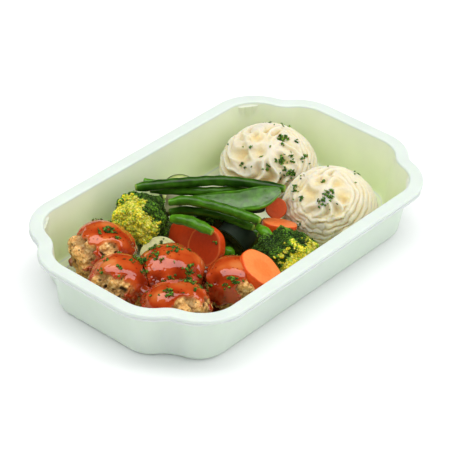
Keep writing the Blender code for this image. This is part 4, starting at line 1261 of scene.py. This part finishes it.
# Parsley
# Curly parsley chopped with a knife and scattered last: ragged scraps of leaf, a few still in small sprigs.
# Each scrap lies where the photograph shows it, on whatever is under it there.
# Each row has its place in the photograph's pixels and the scraps of leaf in it.
SCRAP, TUFT, SPRIG = 1, 5, 20
PARSLEY_SEEN = [
    (99.5, 232, TUFT), (105, 230, TUFT), (110.4, 230, SPRIG), (118, 238, TUFT), (116, 233, SCRAP),
    (105.5, 261, TUFT), (120, 267, TUFT), (100, 272, TUFT), (124, 259, SCRAP), (131, 261.5, TUFT),
    (139, 260, SPRIG), (144, 260.5, SPRIG), (147, 272, TUFT), (119, 276, SCRAP), (146, 266, SCRAP),
    (161, 241, TUFT), (155, 247, SPRIG), (156, 254.5, SPRIG), (174, 249, SPRIG), (168, 252, TUFT),
    (162, 260, TUFT), (174, 262, SCRAP), (191.5, 264, TUFT), (187.5, 271, SPRIG), (189, 276, TUFT),
    (175, 275, SCRAP), (170, 279, TUFT), (187.5, 281, SPRIG), (182.6, 281, TUFT), (199, 277, TUFT),
    (170, 293, SPRIG), (168, 290, TUFT), (151, 295.6, SCRAP), (159, 295, SCRAP), (182.6, 293, SCRAP),
    (195, 290, TUFT), (201, 286, SPRIG), (234, 282, SPRIG), (225, 287, TUFT), (210, 286, TUFT),
    (199.5, 277.5, SCRAP), (201, 288, TUFT), (216, 244.6, TUFT), (211.8, 221, SPRIG), (196.3, 216.8, SCRAP),
    (209, 220, TUFT), (228, 145, SCRAP), (243, 147, SCRAP), (251.5, 147, TUFT), (261, 157, SCRAP),
    (270, 147, SCRAP), (274, 125, SCRAP), (281, 137.5, SPRIG), (286, 137, TUFT), (283.5, 145, SCRAP),
    (297, 143, TUFT), (297, 140, SCRAP), (291, 152.6, SCRAP), (283, 156, TUFT), (276.5, 160, TUFT),
    (282, 162, SPRIG), (292, 161, TUFT), (290, 156.5, TUFT), (302, 158.6, TUFT), (305, 156, TUFT),
    (309, 164, SCRAP), (243, 164.6, TUFT), (251.5, 167, SCRAP), (268, 167, TUFT), (266.6, 170, SCRAP),
    (285, 167, SCRAP), (284, 170.5, TUFT), (280, 173, SCRAP), (290.5, 173, SPRIG), (294, 172, TUFT),
    (281, 178, TUFT), (301, 172, SCRAP), (301, 176, SCRAP), (304, 176, SCRAP), (301, 179, SCRAP),
    (323, 182, TUFT), (294.6, 187, TUFT), (296, 190.4, TUFT), (298.5, 192, SCRAP), (302, 199, TUFT),
    (294, 199.6, SCRAP), (322, 202.6, SPRIG), (328, 194, SPRIG), (332, 190, TUFT), (333, 193, SCRAP),
    (331, 198, TUFT), (337, 203.6, SCRAP), (298.6, 225, TUFT),
]
LEAF_SIZE = 1.0 * MM
LEAF_POINTS = 12
SPREAD = {SCRAP: 0.0, TUFT: 1.3 * MM, SPRIG: 2.3 * MM}
DROP = 6  # millimetres that a scrap falls from, and that it may land away from its tuft
FAR_SIDE = 38.0  # compass angle that looks away from the camera
FAR_SPRINKLES = 7
FAR_SPREAD = 0.7 * MM
FAR_REACH = 60  # millimetres from a piece's middle, which is outside all of them

# Parsley leaf, fresh: matt green, darker and paler in patches.
parsley_material, tree, shader = start_material(
    "parsley leaf, fresh",
    {"Roughness": 0.55, "IOR": 1.42, "Subsurface Weight": 0.1, "Subsurface Scale": 0.001},
)
place = add_node(tree, "TexCoord").outputs["Object"]
vein = add_node(tree, "TexNoise", {"Scale": 1 / (1.6 * MM), "Detail": 3.0}, {"Vector": place})
leaf = add_node(
    tree, "ValToRGB", {"stops": [(0.32, "#1e420c"), (0.5, "#386e14"), (0.68, "#78aa32")]},
    {"Fac": vein.outputs["Fac"]},
)
tree.links.new(leaf.outputs["Color"], shader.inputs["Base Color"])


def scatter(rng, spread, normal):
    """A random step along a surface."""
    off = Vector([rng.gauss(0, spread) for _ in range(3)])
    return off - off.dot(normal) * normal


def add_leaf(vertices, faces, rng, middle, normal, size):
    """One ragged, cupped scrap of leaf, lying near the surface that it fell on."""
    tilt = (normal + 0.55 * Vector([rng.gauss(0, 1) for _ in range(3)])).normalized()
    turn = tilt.to_track_quat("Z", "Y")
    first = len(vertices)
    cup = rng.uniform(-0.35, 0.5)
    vertices.append(middle + 0.1 * size * tilt)
    vertices.append(middle - 0.1 * size * tilt)
    long_way = rng.uniform(1.0, 1.7)
    for i in range(LEAF_POINTS):
        angle = math.tau * i / LEAF_POINTS
        reach = size * (rng.uniform(0.75, 1.15) if i % 2 else rng.uniform(0.35, 0.7))
        lift = cup * reach + rng.gauss(0, 0.16) * size
        edge = Vector((reach * long_way * math.cos(angle), reach * math.sin(angle), lift))
        vertices.append(middle + turn @ edge)
    rim = [first + 2 + i for i in range(LEAF_POINTS)]
    for corner, following in zip(rim, rim[1:] + rim[:1]):
        faces.append((first, corner, following))
        faces.append((first + 1, following, corner))


scene_now = bpy.context.evaluated_depsgraph_get()
host_trees = [
    (host, BVHTree.FromObject(host, scene_now))
    for host in bpy.context.scene.objects
    if host.name.endswith(("_dressed", "_piped", "_cooked", "_head"))
]


def first_hit(origin, direction):
    """The nearest place on the food, and its normal, along a line."""
    nearest = None
    for _, host_tree in host_trees:
        place, normal, _, distance = host_tree.ray_cast(origin, direction)
        if place and (nearest is None or distance < nearest[2]):
            nearest = (place, normal, distance)
    return nearest


rng = random.Random(41)
vertices = []
faces = []
for x, y, scraps in PARSLEY_SEEN:
    sight = (x - PHOTO_SIDE / 2) * CAMERA_RIGHT - (y - PHOTO_SIDE / 2) * CAMERA_UP - PHOTO_FOCUS * CAMERA_BACK
    hit = first_hit(CAMERA_PLACE, sight.normalized())
    if not hit:
        continue
    place, normal, _ = hit
    for _ in range(scraps):
        off = scatter(rng, SPREAD[scraps] * 0.6, normal)
        landing = first_hit(place + off + normal * DROP * MM, -normal)
        if not landing or (landing[0] - place).length > DROP * MM:
            continue
        size = LEAF_SIZE * rng.uniform(0.6, 1.15)
        add_leaf(vertices, faces, rng, landing[0] + normal * rng.uniform(0.2, 0.5) * MM, normal, size)

# More of it fell on the far side of each meatball and each heap of mash.
for host, host_tree in host_trees:
    if not host.name.endswith(("_dressed", "_piped")):
        continue
    low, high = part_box(host.name.rsplit("_", 1)[0])
    middle = (Vector(low) + Vector(high)) / 2
    for _ in range(FAR_SPRINKLES):
        outward = compass_direction(FAR_SIDE + rng.gauss(0, 42), rng.uniform(25, 70))
        place, normal, _, _ = host_tree.ray_cast(middle + outward * FAR_REACH * MM, -outward)
        if place:
            for _ in range(rng.choice((1, 1, 2, 4))):
                off = scatter(rng, FAR_SPREAD, normal)
                size = LEAF_SIZE * rng.uniform(0.6, 1.1)
                add_leaf(vertices, faces, rng, place + off + normal * 0.2 * MM, normal, size)
make_piece("parsley_chopped", vertices, faces, [parsley_material], [])

# Light
# One wide soft box hangs level over the table in a white room. Two white cards, beside the camera and on the
# right, throw light back on the near faces. Neither they nor the room show in the wet food.
SOFTBOX_SIZE = (2.4, 0.7)
SOFTBOX_PLACE = (0.03, 0.04, 1.0)
SOFTBOX_POWER = 12.3
CARD_SIZE = (1.4, 0.8)
CARDS = {
    "card beside the camera": (CAMERA_BACK * 1.3 - CAMERA_RIGHT * 0.25 - CAMERA_UP * 0.15, 2.4),
    "card on the right": (CAMERA_RIGHT * 1.2 + CAMERA_BACK * 0.25 + Vector((0.0, 0.0, 0.25)), 3.0),
}
ROOM_STRENGTH = 0.7


def hang_light(name, place, turn, size, power):
    """A soft rectangular light, with its size in metres and its power in watts."""
    data = bpy.data.lights.new(name, "AREA")
    data.shape = "RECTANGLE"
    data.size, data.size_y = size
    data.energy = power
    light = bpy.data.objects.new(name, data)
    light.location = place
    light.rotation_euler = turn
    bpy.context.scene.collection.objects.link(light)
    return light


along_the_picture = math.atan2(CAMERA_RIGHT.y, CAMERA_RIGHT.x)
softbox = hang_light("softbox", SOFTBOX_PLACE, (0, 0, along_the_picture), SOFTBOX_SIZE, SOFTBOX_POWER)
softbox.data.color = (1.0, 0.985, 0.97)
for name, (place, power) in CARDS.items():
    card = hang_light(name, place, place.to_track_quat("Z", "Y").to_euler(), CARD_SIZE, power)
    card.visible_glossy = False

room = bpy.data.worlds.new("white room")
room.use_nodes = True
room.node_tree.nodes["Background"].inputs["Color"].default_value = linear("#fbfcff")
room.node_tree.nodes["Background"].inputs["Strength"].default_value = ROOM_STRENGTH
room.cycles_visibility.glossy = False  # black flags keep the room out of the wet food's reflections
bpy.context.scene.world = room
bpy.context.scene.view_settings.view_transform = "Standard"
